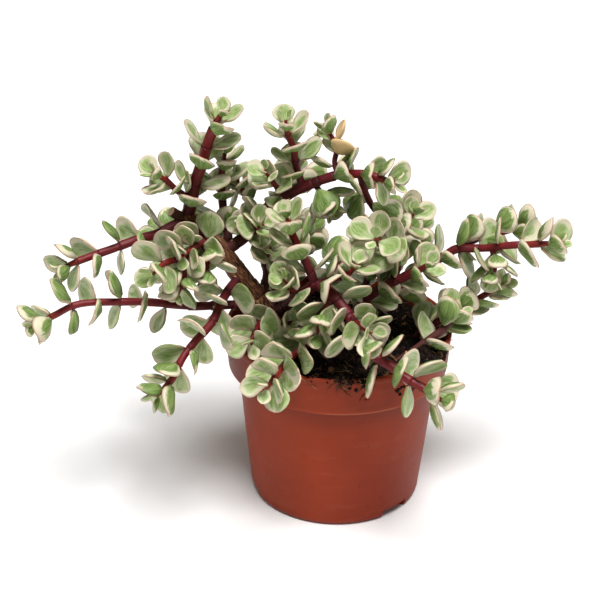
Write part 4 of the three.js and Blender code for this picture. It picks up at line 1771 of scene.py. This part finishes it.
LEAFY = (
    StemPlan("shoot_far_left_upper", "limb_left", (2.9, 1.7), (
        (-78, 3, 156), (-86, -2, 154), (-94, -6, 151), (-104, -11, 150), (-116, -16, 147),
        (-130, -22, 144), (-141, -27, 141)), Pairs(17, 12, 0, 16.5, 76, 0.05)),
    StemPlan("shoot_far_left_lower", "trunk", (2.6, 1.6), (
        (-42, -7, 110), (-54, -10, 113), (-75, -16, 115), (-97, -24, 121), (-114, -30, 124),
        (-132, -35, 125), (-144, -38, 120), (-154, -41, 116)), Pairs(50, 12, 0, 16.5, 76, 0.05)),
    StemPlan("shoot_left_crown", "limb_left", (3.5, 2.4), (
        (-79, 3, 157), (-76, 1, 170), (-74, 0, 179), (-71, -1, 188), (-68, -2, 199), (-65, -3, 207),
        (-61, -4, 216)), Pairs(9, 12.5, 0, 17.5, 62, 0.05)),
    StemPlan("shoot_left_crown_side", "shoot_left_crown", (1.9, 1.4), (
        (-77, 1, 167), (-84, -4, 175), (-89, -8, 182), (-95, -11, 187)), Pairs(5, 8, 0, 15)),
    StemPlan("shoot_left_behind", "limb_left", (2.5, 1.8), (
        (-58, 1, 136), (-59, 12, 147), (-61, 15, 154), (-62, 16, 166), (-62, 16, 176), (-60, 15, 188)),
        Pairs(14, 9.5, 0, 16.5)),
    StemPlan("shoot_right_upper", "limb_right", (2.7, 1.9), (
        (-14.6, 7, 175.2), (-1, 4, 181), (11, 0, 183), (21, -4, 182), (26, -6, 182)),
        Pairs(12, 8.5, 90, 16)),
    StemPlan("shoot_top_centre", "limb_right", (2.1, 1.5), (
        (-20, 8, 172), (-22, 7, 179), (-24, 6, 187), (-25, 5, 195), (-28, 3, 203), (-29, 1, 211)),
        Pairs(8, 8, 0, 16)),
    StemPlan("shoot_top_small", "shoot_right_upper", (1.5, 1.1), (
        (-2, 4, 181), (-4, 8, 186), (-3, 11, 192), (-5, 13, 197), (-9, 14, 203)),
        Pairs(5, 7.5, 90, 14, dried=(3, 5))),
    StemPlan("shoot_inner_low", "limb_right", (1.6, 1.2), (
        (-30, 8, 166), (-33, 2, 174), (-37, -3, 182), (-39, -6, 187)), Pairs(5, 6, 0, 14.5)),
    StemPlan("shoot_right_hanging", "shoot_right_upper", (1.9, 1.4), (
        (9, 1, 182), (12, 6, 171), (17, 12, 159), (25, 16, 151), (32, 14, 149), (36, 11, 154),
        (38, 9, 158)), Pairs(12, 9, 45, 16.5)),
    StemPlan("shoot_middle", "limb_middle", (1.8, 1.3), (
        (-47, 18, 155), (-50, 18, 163), (-54, 17, 172)), Pairs(5, 7.5, 30, 16.5)),
    StemPlan("shoot_left_low", "limb_left", (2.2, 1.5), (
        (-69, 2, 147), (-74, -14, 148), (-79, -24, 147), (-88, -36, 149), (-93, -44, 147)),
        Pairs(10, 9, 45, 17)),
    StemPlan("shoot_left_front", "limb_left", (2.1, 1.5), (
        (-64, 1, 142), (-70, -12, 149), (-75, -23, 151), (-79, -31, 151)),
        Pairs(11, 8.5, 0, 16, 66, opened=10)),
    StemPlan("shoot_front_left_hanging", "limb_left", (2.6, 1.6), (
        (-52, -2, 126), (-57, -14, 124), (-61, -24, 121), (-65, -34, 115), (-73, -45, 110),
        (-79, -52, 104), (-83, -58, 97), (-88, -62, 92), (-91, -64, 89)), Pairs(16, 10, 90, 17.5)),
    StemPlan("shoot_front_low", "trunk", (1.9, 1.4), (
        (-35, -7, 97), (-40, -20, 108), (-44, -31, 107), (-45, -38, 105)), Pairs(12, 7.5, 20, 16.5)),
    StemPlan("shoot_front_centre", "trunk", (2.4, 1.6), (
        (-33, -6, 95), (-15, -16, 101), (-17, -32, 102), (-26, -50, 103), (-32, -66, 103),
        (-36, -76, 102)), Pairs(34, 9.5, 90, 18)),
    StemPlan("shoot_centre_rising", "limb_front", (2.4, 1.7), (
        (-13, -31, 136), (-17, -32, 147), (-20, -31, 153), (-25, -31, 164), (-28, -32, 174)),
        Pairs(8, 9, 90, 17.5)),
    StemPlan("shoot_front_right_hanging", "limb_front", (3.2, 2.1), (
        (-12, -32, 137), (-4, -40, 134), (3, -47, 128), (7, -53, 122), (11, -57, 115), (17, -60, 111),
        (25, -62, 107), (31, -65, 103), (43, -70, 98), (50, -73, 94)), Pairs(6, 9, 45, 19.5, 66, 0.3)),
    StemPlan("shoot_front_side", "shoot_front_right_hanging", (1.8, 1.3), (
        (4, -48, 127), (10, -59, 127), (14, -67, 128)), Pairs(5, 6, 0, 17, opened=10)),
    StemPlan("shoot_facing", "limb_front", (2.0, 1.5), (
        (-13, -31, 136), (-3, -32, 140), (4, -33, 144), (7, -36, 150)), Pairs(7, 7.5, 0, 17, opened=12)),
    StemPlan("stem_right", "soil", (3.0, 2.3), (
        (6, 2, 66), (5, 0, 91), (8, -3, 104), (14, -5, 115), (24, -7, 124), (33, -9, 130), (40, -11, 135),
        (44, -13, 139)), Pairs(30, 10, 90, 17.5)),
    StemPlan("shoot_rosette", "stem_right", (2.0, 1.5), (
        (24, -7, 124), (29, 0, 127), (30, 2, 134), (27, -4, 143), (21, -16, 152), (16, -30, 161)),
        Pairs(14, 9, 0, 17.5, opened=14)),
    StemPlan("shoot_far_right", "stem_right", (2.6, 1.7), (
        (32, -8, 129), (42, 0, 131), (54, 4, 136), (60, 4, 140), (68, 3, 141), (77, 0, 143),
        (87, -3, 146), (97, -6, 148), (110, -10, 151)), Pairs(14, 11, 0, 17.5, 70, 0.2)),
    StemPlan("shoot_far_right_behind", "shoot_far_right", (2.0, 1.4), (
        (57, 4, 138), (66, 10, 140), (76, 15, 143), (87, 18, 144), (98, 20, 148)),
        Pairs(10, 8.5, 20, 16)),
    StemPlan("shoot_right_low", "soil", (2.6, 1.7), (
        (14, -34, 70), (24, -30, 85), (29, -26, 88), (34, -24, 91), (40, -22, 95), (47, -20, 100),
        (52, -18, 103), (57, -16, 107), (61, -15, 111)), Pairs(45, 10, 30, 19, 62, 0.3)),
    StemPlan("shoot_right_outer", "soil", (2.3, 1.6), (
        (33, 2, 66), (42, 0, 90), (55, -3, 103), (68, 0, 110), (78, 3, 115), (86, 4, 119)),
        Pairs(28, 9.5, 20, 17, 62, 0.3)),
    StemPlan("shoot_back_left", "limb_left", (2.4, 1.5), (
        (-56, -1, 132), (-66, 14, 134), (-78, 30, 132), (-90, 44, 127), (-100, 54, 120)),
        Pairs(12, 10, 0, 17)),
    StemPlan("shoot_back_centre", "trunk", (2.6, 1.6), (
        (-38, -5, 104), (-32, 12, 116), (-28, 30, 124), (-24, 48, 126), (-20, 64, 122), (-18, 76, 115)),
        Pairs(16, 10, 45, 17)),
    StemPlan("shoot_back_upper", "limb_right", (2.2, 1.5), (
        (-34, 8, 163), (-32, 20, 165), (-28, 32, 166), (-24, 44, 164), (-22, 54, 160)),
        Pairs(12, 9.5, 0, 16.5)),
    StemPlan("shoot_back_right", "stem_right", (2.3, 1.5), (
        (12, -4, 112), (16, 12, 122), (24, 28, 130), (34, 42, 132), (44, 54, 129)),
        Pairs(12, 10, 30, 17)),
    StemPlan("shoot_back_low", "soil", (2.3, 1.5), (
        (-6, 24, 70), (-6, 32, 90), (-4, 46, 102), (0, 60, 104), (4, 72, 99)), Pairs(28, 10, 0, 17)),
)


TWIGS = (
    StemPlan("twig_centre_left", "limb_right", (1.7, 1.2), (
        (-48, 5, 147), (-44, -2, 152), (-40, -10, 159)), Pairs(4, 7, 0, 16.5)),
    StemPlan("twig_centre_high", "limb_right", (1.6, 1.1), (
        (-38, 8, 160), (-45, 2, 158), (-50, -2, 156)), Pairs(5, 7, 0, 15.5)),
    StemPlan("twig_middle", "limb_middle", (1.6, 1.1), (
        (-41, 10, 130), (-38, 2, 136), (-36, -6, 144)), Pairs(4, 7, 30, 15.5)),
    StemPlan("twig_front_inner", "limb_front", (1.7, 1.2), (
        (-21, -26, 129), (-25, -34, 135), (-29, -40, 143)), Pairs(4, 7, 60, 16.5)),
    StemPlan("twig_right_back", "limb_right", (1.7, 1.2), (
        (-15, 7, 176), (-10, 8, 168), (-5, 4, 161)), Pairs(4, 7, 0, 16.5)),
    StemPlan("twig_right_inner", "shoot_rosette", (1.7, 1.2), (
        (28, -1, 138), (20, -4, 146), (10, -8, 152)), Pairs(6, 7, 20, 17)),
    StemPlan("twig_left_between", "shoot_left_front", (1.7, 1.2), (
        (-70, -12, 149), (-68, -18, 143), (-68, -24, 134)), Pairs(5, 7, 0, 16.5)),
    StemPlan("twig_left_under", "shoot_left_low", (1.7, 1.2), (
        (-79, -24, 147), (-79, -30, 138), (-82, -34, 130)), Pairs(5, 7, 45, 16)),
    StemPlan("twig_front_under", "shoot_front_right_hanging", (1.7, 1.2), (
        (-4, -40, 134), (-9, -46, 127), (-12, -52, 118)), Pairs(5, 7.5, 45, 17)),
    StemPlan("twig_right_low", "stem_right", (1.8, 1.2), (
        (13, -4, 114), (26, 3, 115), (38, 7, 118)), Pairs(8, 8, 20, 16.5)),
    StemPlan("twig_low_front", "trunk", (1.8, 1.2), (
        (-34, -7, 97), (-28, -20, 107), (-25, -30, 114)), Pairs(8, 7, 20, 16)),
    StemPlan("twig_far_right", "shoot_far_right", (1.6, 1.1), (
        (78, 0, 143), (80, -4, 136), (79, -8, 128)), Pairs(4, 6.5, 0, 15)),
)


@dataclass(frozen=True)
class ScarFinish:
    """The pale mark that a fallen leaf leaves, with a dark edge."""

    heart: Colour = screen(206, 150, 104)
    edge: Colour = screen(92, 40, 30)

    def material(self) -> bpy.types.Material:
        """Builds the material from the mark's own rim.

        Returns:
            The material.
        """
        paint = Paint("leaf_scar")
        cloud = paint.noise(paint.place, 1500, 2)
        inside = paint.step(paint.attribute("rim") + (cloud - 0.5) * 0.5, 0.2, 0.7)
        base = paint.mix(inside, self.edge, self.heart)
        return paint.finish(base, 0.6 + cloud * 0.2, cloud, 0.2, Specular_IOR_Level=0.2)


@dataclass(frozen=True)
class Surface:
    """What a stem's surface is like: its finish, how deep and how fine its relief is, and its sides."""

    finish: Slot = Slot.STEM
    relief: float = 0.3
    grain: float = 1.8
    sides: int = 12


SURFACES = {"trunk": Surface(Slot.BARK, 1.7, 2.6, 20), "limb_left": Surface(Slot.BARK, 1.3, 2.6)}
AGES = {
    "limb_middle": (0.95, 0.6),
    "stub_cut": (0.95, 0.9),
    "shoot_left_behind": (0.8, 0.3),
    "shoot_right_low": (1.0, 0.62),
    "stem_right": (1.0, 0.3),
}


@dataclass(frozen=True)
class Seat:
    """A place for a leaf: where it is on its stem, and how the leaf should stand there.

    The turn is about the stem and the lean is off it. Young is 1 at a shoot's tip and 0 on its old part.
    """

    spot: Spot
    radius: float
    turn: float
    lean: float
    size: float
    young: float
    lift: float

    def pose(self, turn: float, lean: float, roll: float) -> tuple[Vector, Vector, Vector]:
        """Poses a leaf here.

        Args:
            turn: Its angle about the stem.
            lean: Its angle off the stem.
            roll: Its angle about its own length.

        Returns:
            Where it starts, and the directions of its length and of its upper face.
        """
        angle, tilt = math.radians(turn), math.radians(lean)
        out = self.spot.up * math.cos(angle) + self.spot.side * math.sin(angle)
        along = (self.spot.along * math.cos(tilt) + out * math.sin(tilt) + UP * self.lift).normalized()
        face = (self.spot.along * math.sin(tilt) - out * math.cos(tilt) + UP * self.lift).normalized()
        face = (face - along * face.dot(along)).normalized()
        face = (Matrix.Rotation(math.radians(roll), 3, along) @ face).normalized()
        return self.spot.point + out * (0.55 * self.radius), along, face


@dataclass
class Bush:
    """The plant: its trunk, bare limbs and leafy shoots.

    The crown holds a shoot's last pairs, each with how far it is from the tip, its share of a leaf's size
    and its spread.
    """

    crowd: Crowd
    seed: int = 11
    turn_varies: float = 7.0
    spread_varies: float = 6.0
    size_varies: float = 0.13
    crown: tuple[Point, ...] = ((9.0, 1.0, 66.0), (4.4, 0.86, 57.0), (0.7, 0.5, 44.0))
    young_part: float = 26.0
    tries: int = 10
    worst: float = 4.0
    clear_enough: float = 0.25
    lean_limits: tuple[float, float] = (10.0, 96.0)
    form_shares: tuple[float, ...] = (0.24, 0.28, 0.14, 0.12, 0.1, 0.12)
    leaf_finish: LeafFinish = LeafFinish()
    stem_finish: StemFinish = StemFinish()
    bark_finish: BarkFinish = BarkFinish()
    scar_finish: ScarFinish = ScarFinish()

    def __post_init__(self) -> None:
        """Prepares the stems, the recipes and the materials."""
        self.tube = tube_recipe()
        self.setter = leaf_recipe()
        forms = [posture.value.mesh(f"form_{i}") for i, posture in enumerate(Posture)]
        self.forms = hidden_collection("leaf_forms", forms)
        self.skins = {
            Slot.LEAF: self.leaf_finish.material(),
            Slot.STEM: self.stem_finish.material(),
            Slot.BARK: self.bark_finish.material(),
        }
        self.stems = {plan.name: self.stem_of(plan) for plan in BARE + LEAFY + TWIGS}
        for stem in self.stems.values():
            self.crowd.add_stem(stem)

    def stem_of(self, plan: StemPlan) -> Stem:
        """Gives a stem its rings: at its leaf pairs, and at old nodes on a bare stretch.

        Args:
            plan: The stem's plan.

        Returns:
            The stem.
        """
        length = Route(plan.route).length
        pairs = plan.pairs
        if pairs is None:
            old, fresh = AGES.get(plan.name, (0.75, 0.45))
            rings = list(np.arange(8.0, length - 3, 13.0))
            return Stem(plan, rings, old=old, fresh=fresh, cut=plan.name == "stub_cut", swell=0.03)
        old, fresh = AGES.get(plan.name, (0.95 if plan.on == "soil" else 0.6, 0.05))
        rings = list(np.arange(pairs.first - pairs.gap, 3, -pairs.gap))[::-1]
        rings += [reach for reach, _, _ in self.pair_places(pairs, length)]
        return Stem(plan, rings, old=old, fresh=fresh)

    def pair_places(self, pairs: Pairs, length: float) -> list[Point]:
        """Spreads leaf pairs along a shoot, closer at its tip.

        Args:
            pairs: What the pairs are like.
            length: The length of the shoot.

        Returns:
            The distance along, the share of a leaf's size, and the spread of each pair.
        """
        crown = [(length - back, size, spread + pairs.opened) for back, size, spread in self.crown]
        stretch = crown[0][0] - pairs.first
        count = max(0, round(stretch / pairs.gap))
        places = [(pairs.first + stretch * i / count, 1.0, pairs.spread) for i in range(count)]
        return places + [row for row in crown if row[0] > 0.5]

    def leaf_at(self, rng: np.random.Generator, seat: Seat) -> Leaf | None:
        """Puts a leaf on a seat, in the posture that meets least.

        Args:
            rng: Where its own traits come from.
            seat: The seat.

        Returns:
            The leaf, or None if it would meet too much in all postures.
        """
        form = int(rng.choice(len(self.form_shares), p=self.form_shares))
        if seat.young > 0.55:
            form = int(rng.choice([1, 6], p=[0.4, 0.6]))
        traits = {
            "wide": rng.uniform(0.9, 1.08),
            "form": form,
            "seed": rng.random(),
            "tint": float(np.clip(0.15 + 0.75 * seat.young + rng.normal(0, 0.14), 0, 1)),
            "cream": float(np.clip(rng.normal(0.29, 0.17), 0.05, 1.0)),
            "side": float(np.clip(rng.normal(0, 0.5), -1.2, 1.2)),
        }
        best, least = None, self.worst
        for attempt in range(self.tries):
            reach = attempt / (self.tries - 1)
            turn = seat.turn + rng.normal(0, 4 + 26 * reach)
            lean = float(np.clip(seat.lean + rng.normal(0, 3 + 18 * reach), *self.lean_limits))
            base, along, face = seat.pose(turn, lean, rng.normal(0, 6 + 14 * reach))
            leaf = Leaf(base, along, face, seat.size * (1 - 0.16 * reach), **traits)
            cost = self.crowd.cost(leaf) + 0.35 * reach
            if cost < least:
                best, least = leaf, cost
            if cost < self.clear_enough:
                break
        return best

    def leaves_of(self, index: int, stem: Stem) -> list[Leaf]:
        """Gives a shoot its leaves: opposite pairs, each turned a quarter circle from the last.

        Args:
            index: The number of the shoot, which seeds its leaves.
            stem: The shoot's stem.

        Returns:
            The leaves.
        """
        rng = np.random.default_rng([self.seed, index])
        pairs, length = stem.plan.pairs, stem.route.length
        leaves = []
        for number, (reach, share, spread) in enumerate(self.pair_places(pairs, length)):
            young = float(np.clip(1 - (length - reach) / self.young_part, 0, 1))
            for half in (0, 1):
                turn = pairs.turn + 90 * number + 180 * half + rng.normal(0, self.turn_varies)
                lean = spread + rng.normal(0, self.spread_varies)
                size = pairs.leaf * share * (1 + rng.uniform(-1, 1) * self.size_varies)
                seat = Seat(stem.route.spot(reach), stem.radius(reach), turn, lean, size, young, pairs.lift)
                leaf = self.leaf_at(rng, seat)
                if leaf:
                    leaf.dry = float(len(leaves) in pairs.dried)
                    leaves.append(leaf)
                    self.crowd.add_leaf(leaf)
        return leaves

    @staticmethod
    def leaf_points(name: str, leaves: Sequence[Leaf]) -> bpy.types.Mesh:
        """Makes the points that leaves are set on, each with what its leaf is like.

        Args:
            name: The name of the mesh.
            leaves: The leaves.

        Returns:
            The mesh of points.
        """
        made = mesh_of(name, [leaf.base for leaf in leaves])
        note(made, "turn", [turn_of(leaf.along, leaf.face) for leaf in leaves], "QUATERNION")
        sizes = [(leaf.length * MM, leaf.length * leaf.wide * MM, leaf.length * MM) for leaf in leaves]
        note(made, "size", sizes, "FLOAT_VECTOR")
        note(made, "form", [leaf.form for leaf in leaves], "INT")
        for trait in ("seed", "tint", "cream", "side", "dry"):
            note(made, trait, [getattr(leaf, trait) for leaf in leaves])
        return made

    def build(self) -> None:
        """Makes every stem and its leaves, and the scars."""
        total = 0
        for index, (name, stem) in enumerate(self.stems.items()):
            node = stem.plan.on if stem.plan in TWIGS else name
            self.build_stem(stem, node)
            if stem.plan.pairs:
                leaves = self.leaves_of(index, stem)
                total += len(leaves)
                self.build_leaves(name, leaves, node)
        LOG.info("%d leaves", total)
        clear_collection(self.forms)
        self.build_scars()

    def build_stem(self, stem: Stem, node: str) -> None:
        """Makes a stem.

        Args:
            stem: The stem.
            node: The CAD node that it stands for.
        """
        name = stem.plan.name
        surface = SURFACES.get(name, Surface())
        piece = self.tube.grow(
            name + "_stem",
            stem.path(),
            Sides=surface.sides,
            Bark=surface.relief * MM,
            Grain=surface.grain,
            Material=self.skins[surface.finish],
        )
        settle(piece, Slot.BARK if name == "trunk" else Slot.STEM, node)

    def build_leaves(self, name: str, leaves: Sequence[Leaf], node: str) -> None:
        """Makes the leaves of a shoot.

        Args:
            name: The name of the shoot.
            leaves: Its leaves.
            node: The CAD node that they stand for.
        """
        points = self.leaf_points(name, leaves)
        piece = self.setter.grow(name + "_leaves", points, Forms=self.forms, Material=self.skins[Slot.LEAF])
        for spare in ("turn", "size", "form"):
            if spare in piece.data.attributes:
                piece.data.attributes.remove(piece.data.attributes[spare])
        settle(piece, Slot.LEAF, node)

    def build_scars(self) -> None:
        """Makes the marks of fallen leaves, two at each bare ring of a stem that had leaves."""
        rng = np.random.default_rng(self.seed)
        dome, faces = lathe([(0, -0.3), (1, -0.2), (0.8, 0.22), (0, 0.34)], 8)
        form = bpy.data.meshes.new("scar_form")
        form.from_pydata(dome, [], faces)
        note(form, "rim", [0.0 if math.hypot(x, y) > 0.9 else 1.0 for x, y, _ in dome])
        places, turns, sizes = [], [], []
        for stem in self.stems.values():
            plan = stem.plan
            if plan.name in (*SURFACES, "stub_cut") or plan in TWIGS:
                continue
            first = plan.pairs.first if plan.pairs else stem.route.length
            for number, ring in enumerate(ring for ring in stem.rings if ring < first - 2):
                reach = ring - 1.0
                spot = stem.route.spot(reach)
                for half in (0, 1):
                    angle = math.radians(90 * number + 180 * half + rng.normal(0, 12))
                    out = spot.up * math.cos(angle) + spot.side * math.sin(angle)
                    places.append(spot.point + out * stem.radius(reach) * 0.97)
                    turns.append(turn_of(spot.along, out))
                    sizes.append((rng.uniform(0.55, 0.95) * MM,) * 3)
        points = mesh_of("scars", places)
        note(points, "turn", turns, "QUATERNION")
        note(points, "size", sizes, "FLOAT_VECTOR")
        note(points, "form", [0] * len(places), "INT")
        forms = hidden_collection("scar_forms", [form])
        piece = self.setter.grow("leaf_scars", points, Forms=forms, Material=self.scar_finish.material())
        clear_collection(forms)
        settle(piece, Slot.STEM)


@dataclass
class Studio:
    """A pale floor, soft light and the camera of the photograph, in metres and radians."""

    camera_at: Point = (-0.0206, -0.766, 0.506)
    camera_pitch: float = 0.476
    camera_roll: float = 0.014
    lens: float = 98.4
    sensor: float = 36.0
    floor_side: float = 12.0
    sky: float = 0.23
    sky_colour: Colour = (1.0, 0.97, 0.9, 1.0)
    sun: float = 4.1
    sun_width: float = 28.0
    sun_from: Point = (0.09, -0.31, 1.0)

    def build_camera(self) -> None:
        """Makes the camera."""
        data = bpy.data.cameras.new("camera")
        data.lens = self.lens
        data.sensor_width = self.sensor
        camera = bpy.data.objects.new("camera", data)
        pitch = Matrix.Rotation(math.pi / 2 - self.camera_pitch, 4, "X")
        roll = Matrix.Rotation(self.camera_roll, 4, "Z")
        camera.matrix_world = Matrix.Translation(self.camera_at) @ pitch @ roll
        bpy.context.scene.collection.objects.link(camera)
        bpy.context.scene.camera = camera

    def build_lamp(self) -> None:
        """Makes the wide, soft light from above the front."""
        data = bpy.data.lights.new("daylight", "SUN")
        data.energy = self.sun
        data.angle = math.radians(self.sun_width)
        lamp = bpy.data.objects.new("daylight", data)
        lamp.rotation_euler = Vector(self.sun_from).to_track_quat("Z", "Y").to_euler()
        bpy.context.scene.collection.objects.link(lamp)

    def build(self) -> None:
        """Makes the floor, the sky, the lamps and the camera."""
        half = self.floor_side / 2 / MM
        corners = [(-half, -half, 0), (half, -half, 0), (half, half, 0), (-half, half, 0)]
        floor = placed("floor", mesh_of("floor", corners, [[0, 1, 2, 3]]))
        floor.data.materials.append(FloorFinish().material())
        floor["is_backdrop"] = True
        world = bpy.data.worlds.new("studio")
        world.use_nodes = True
        world.node_tree.nodes["Background"].inputs["Color"].default_value = self.sky_colour
        world.node_tree.nodes["Background"].inputs["Strength"].default_value = self.sky
        scene = bpy.context.scene
        scene.world = world
        scene.view_settings.view_transform = "Standard"
        self.build_lamp()
        self.build_camera()


def main() -> None:
    """Builds the object and its studio, and works out the two boxes."""
    logging.basicConfig(level=logging.INFO, format="%(message)s")
    Studio().build()
    pot = Pot()
    pot.build()
    soil = Soil(pot)
    soil.build_body()
    soil.build_litter()
    Bush(Crowd(soil, pot)).build()
    bpy.context.view_layer.update()
    boxes = {"cad": CAD_BOX, "visual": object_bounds()}
    boxes = {name: [list(corner) for corner in box] for name, box in boxes.items()}


if __name__ == "__main__":
    main()
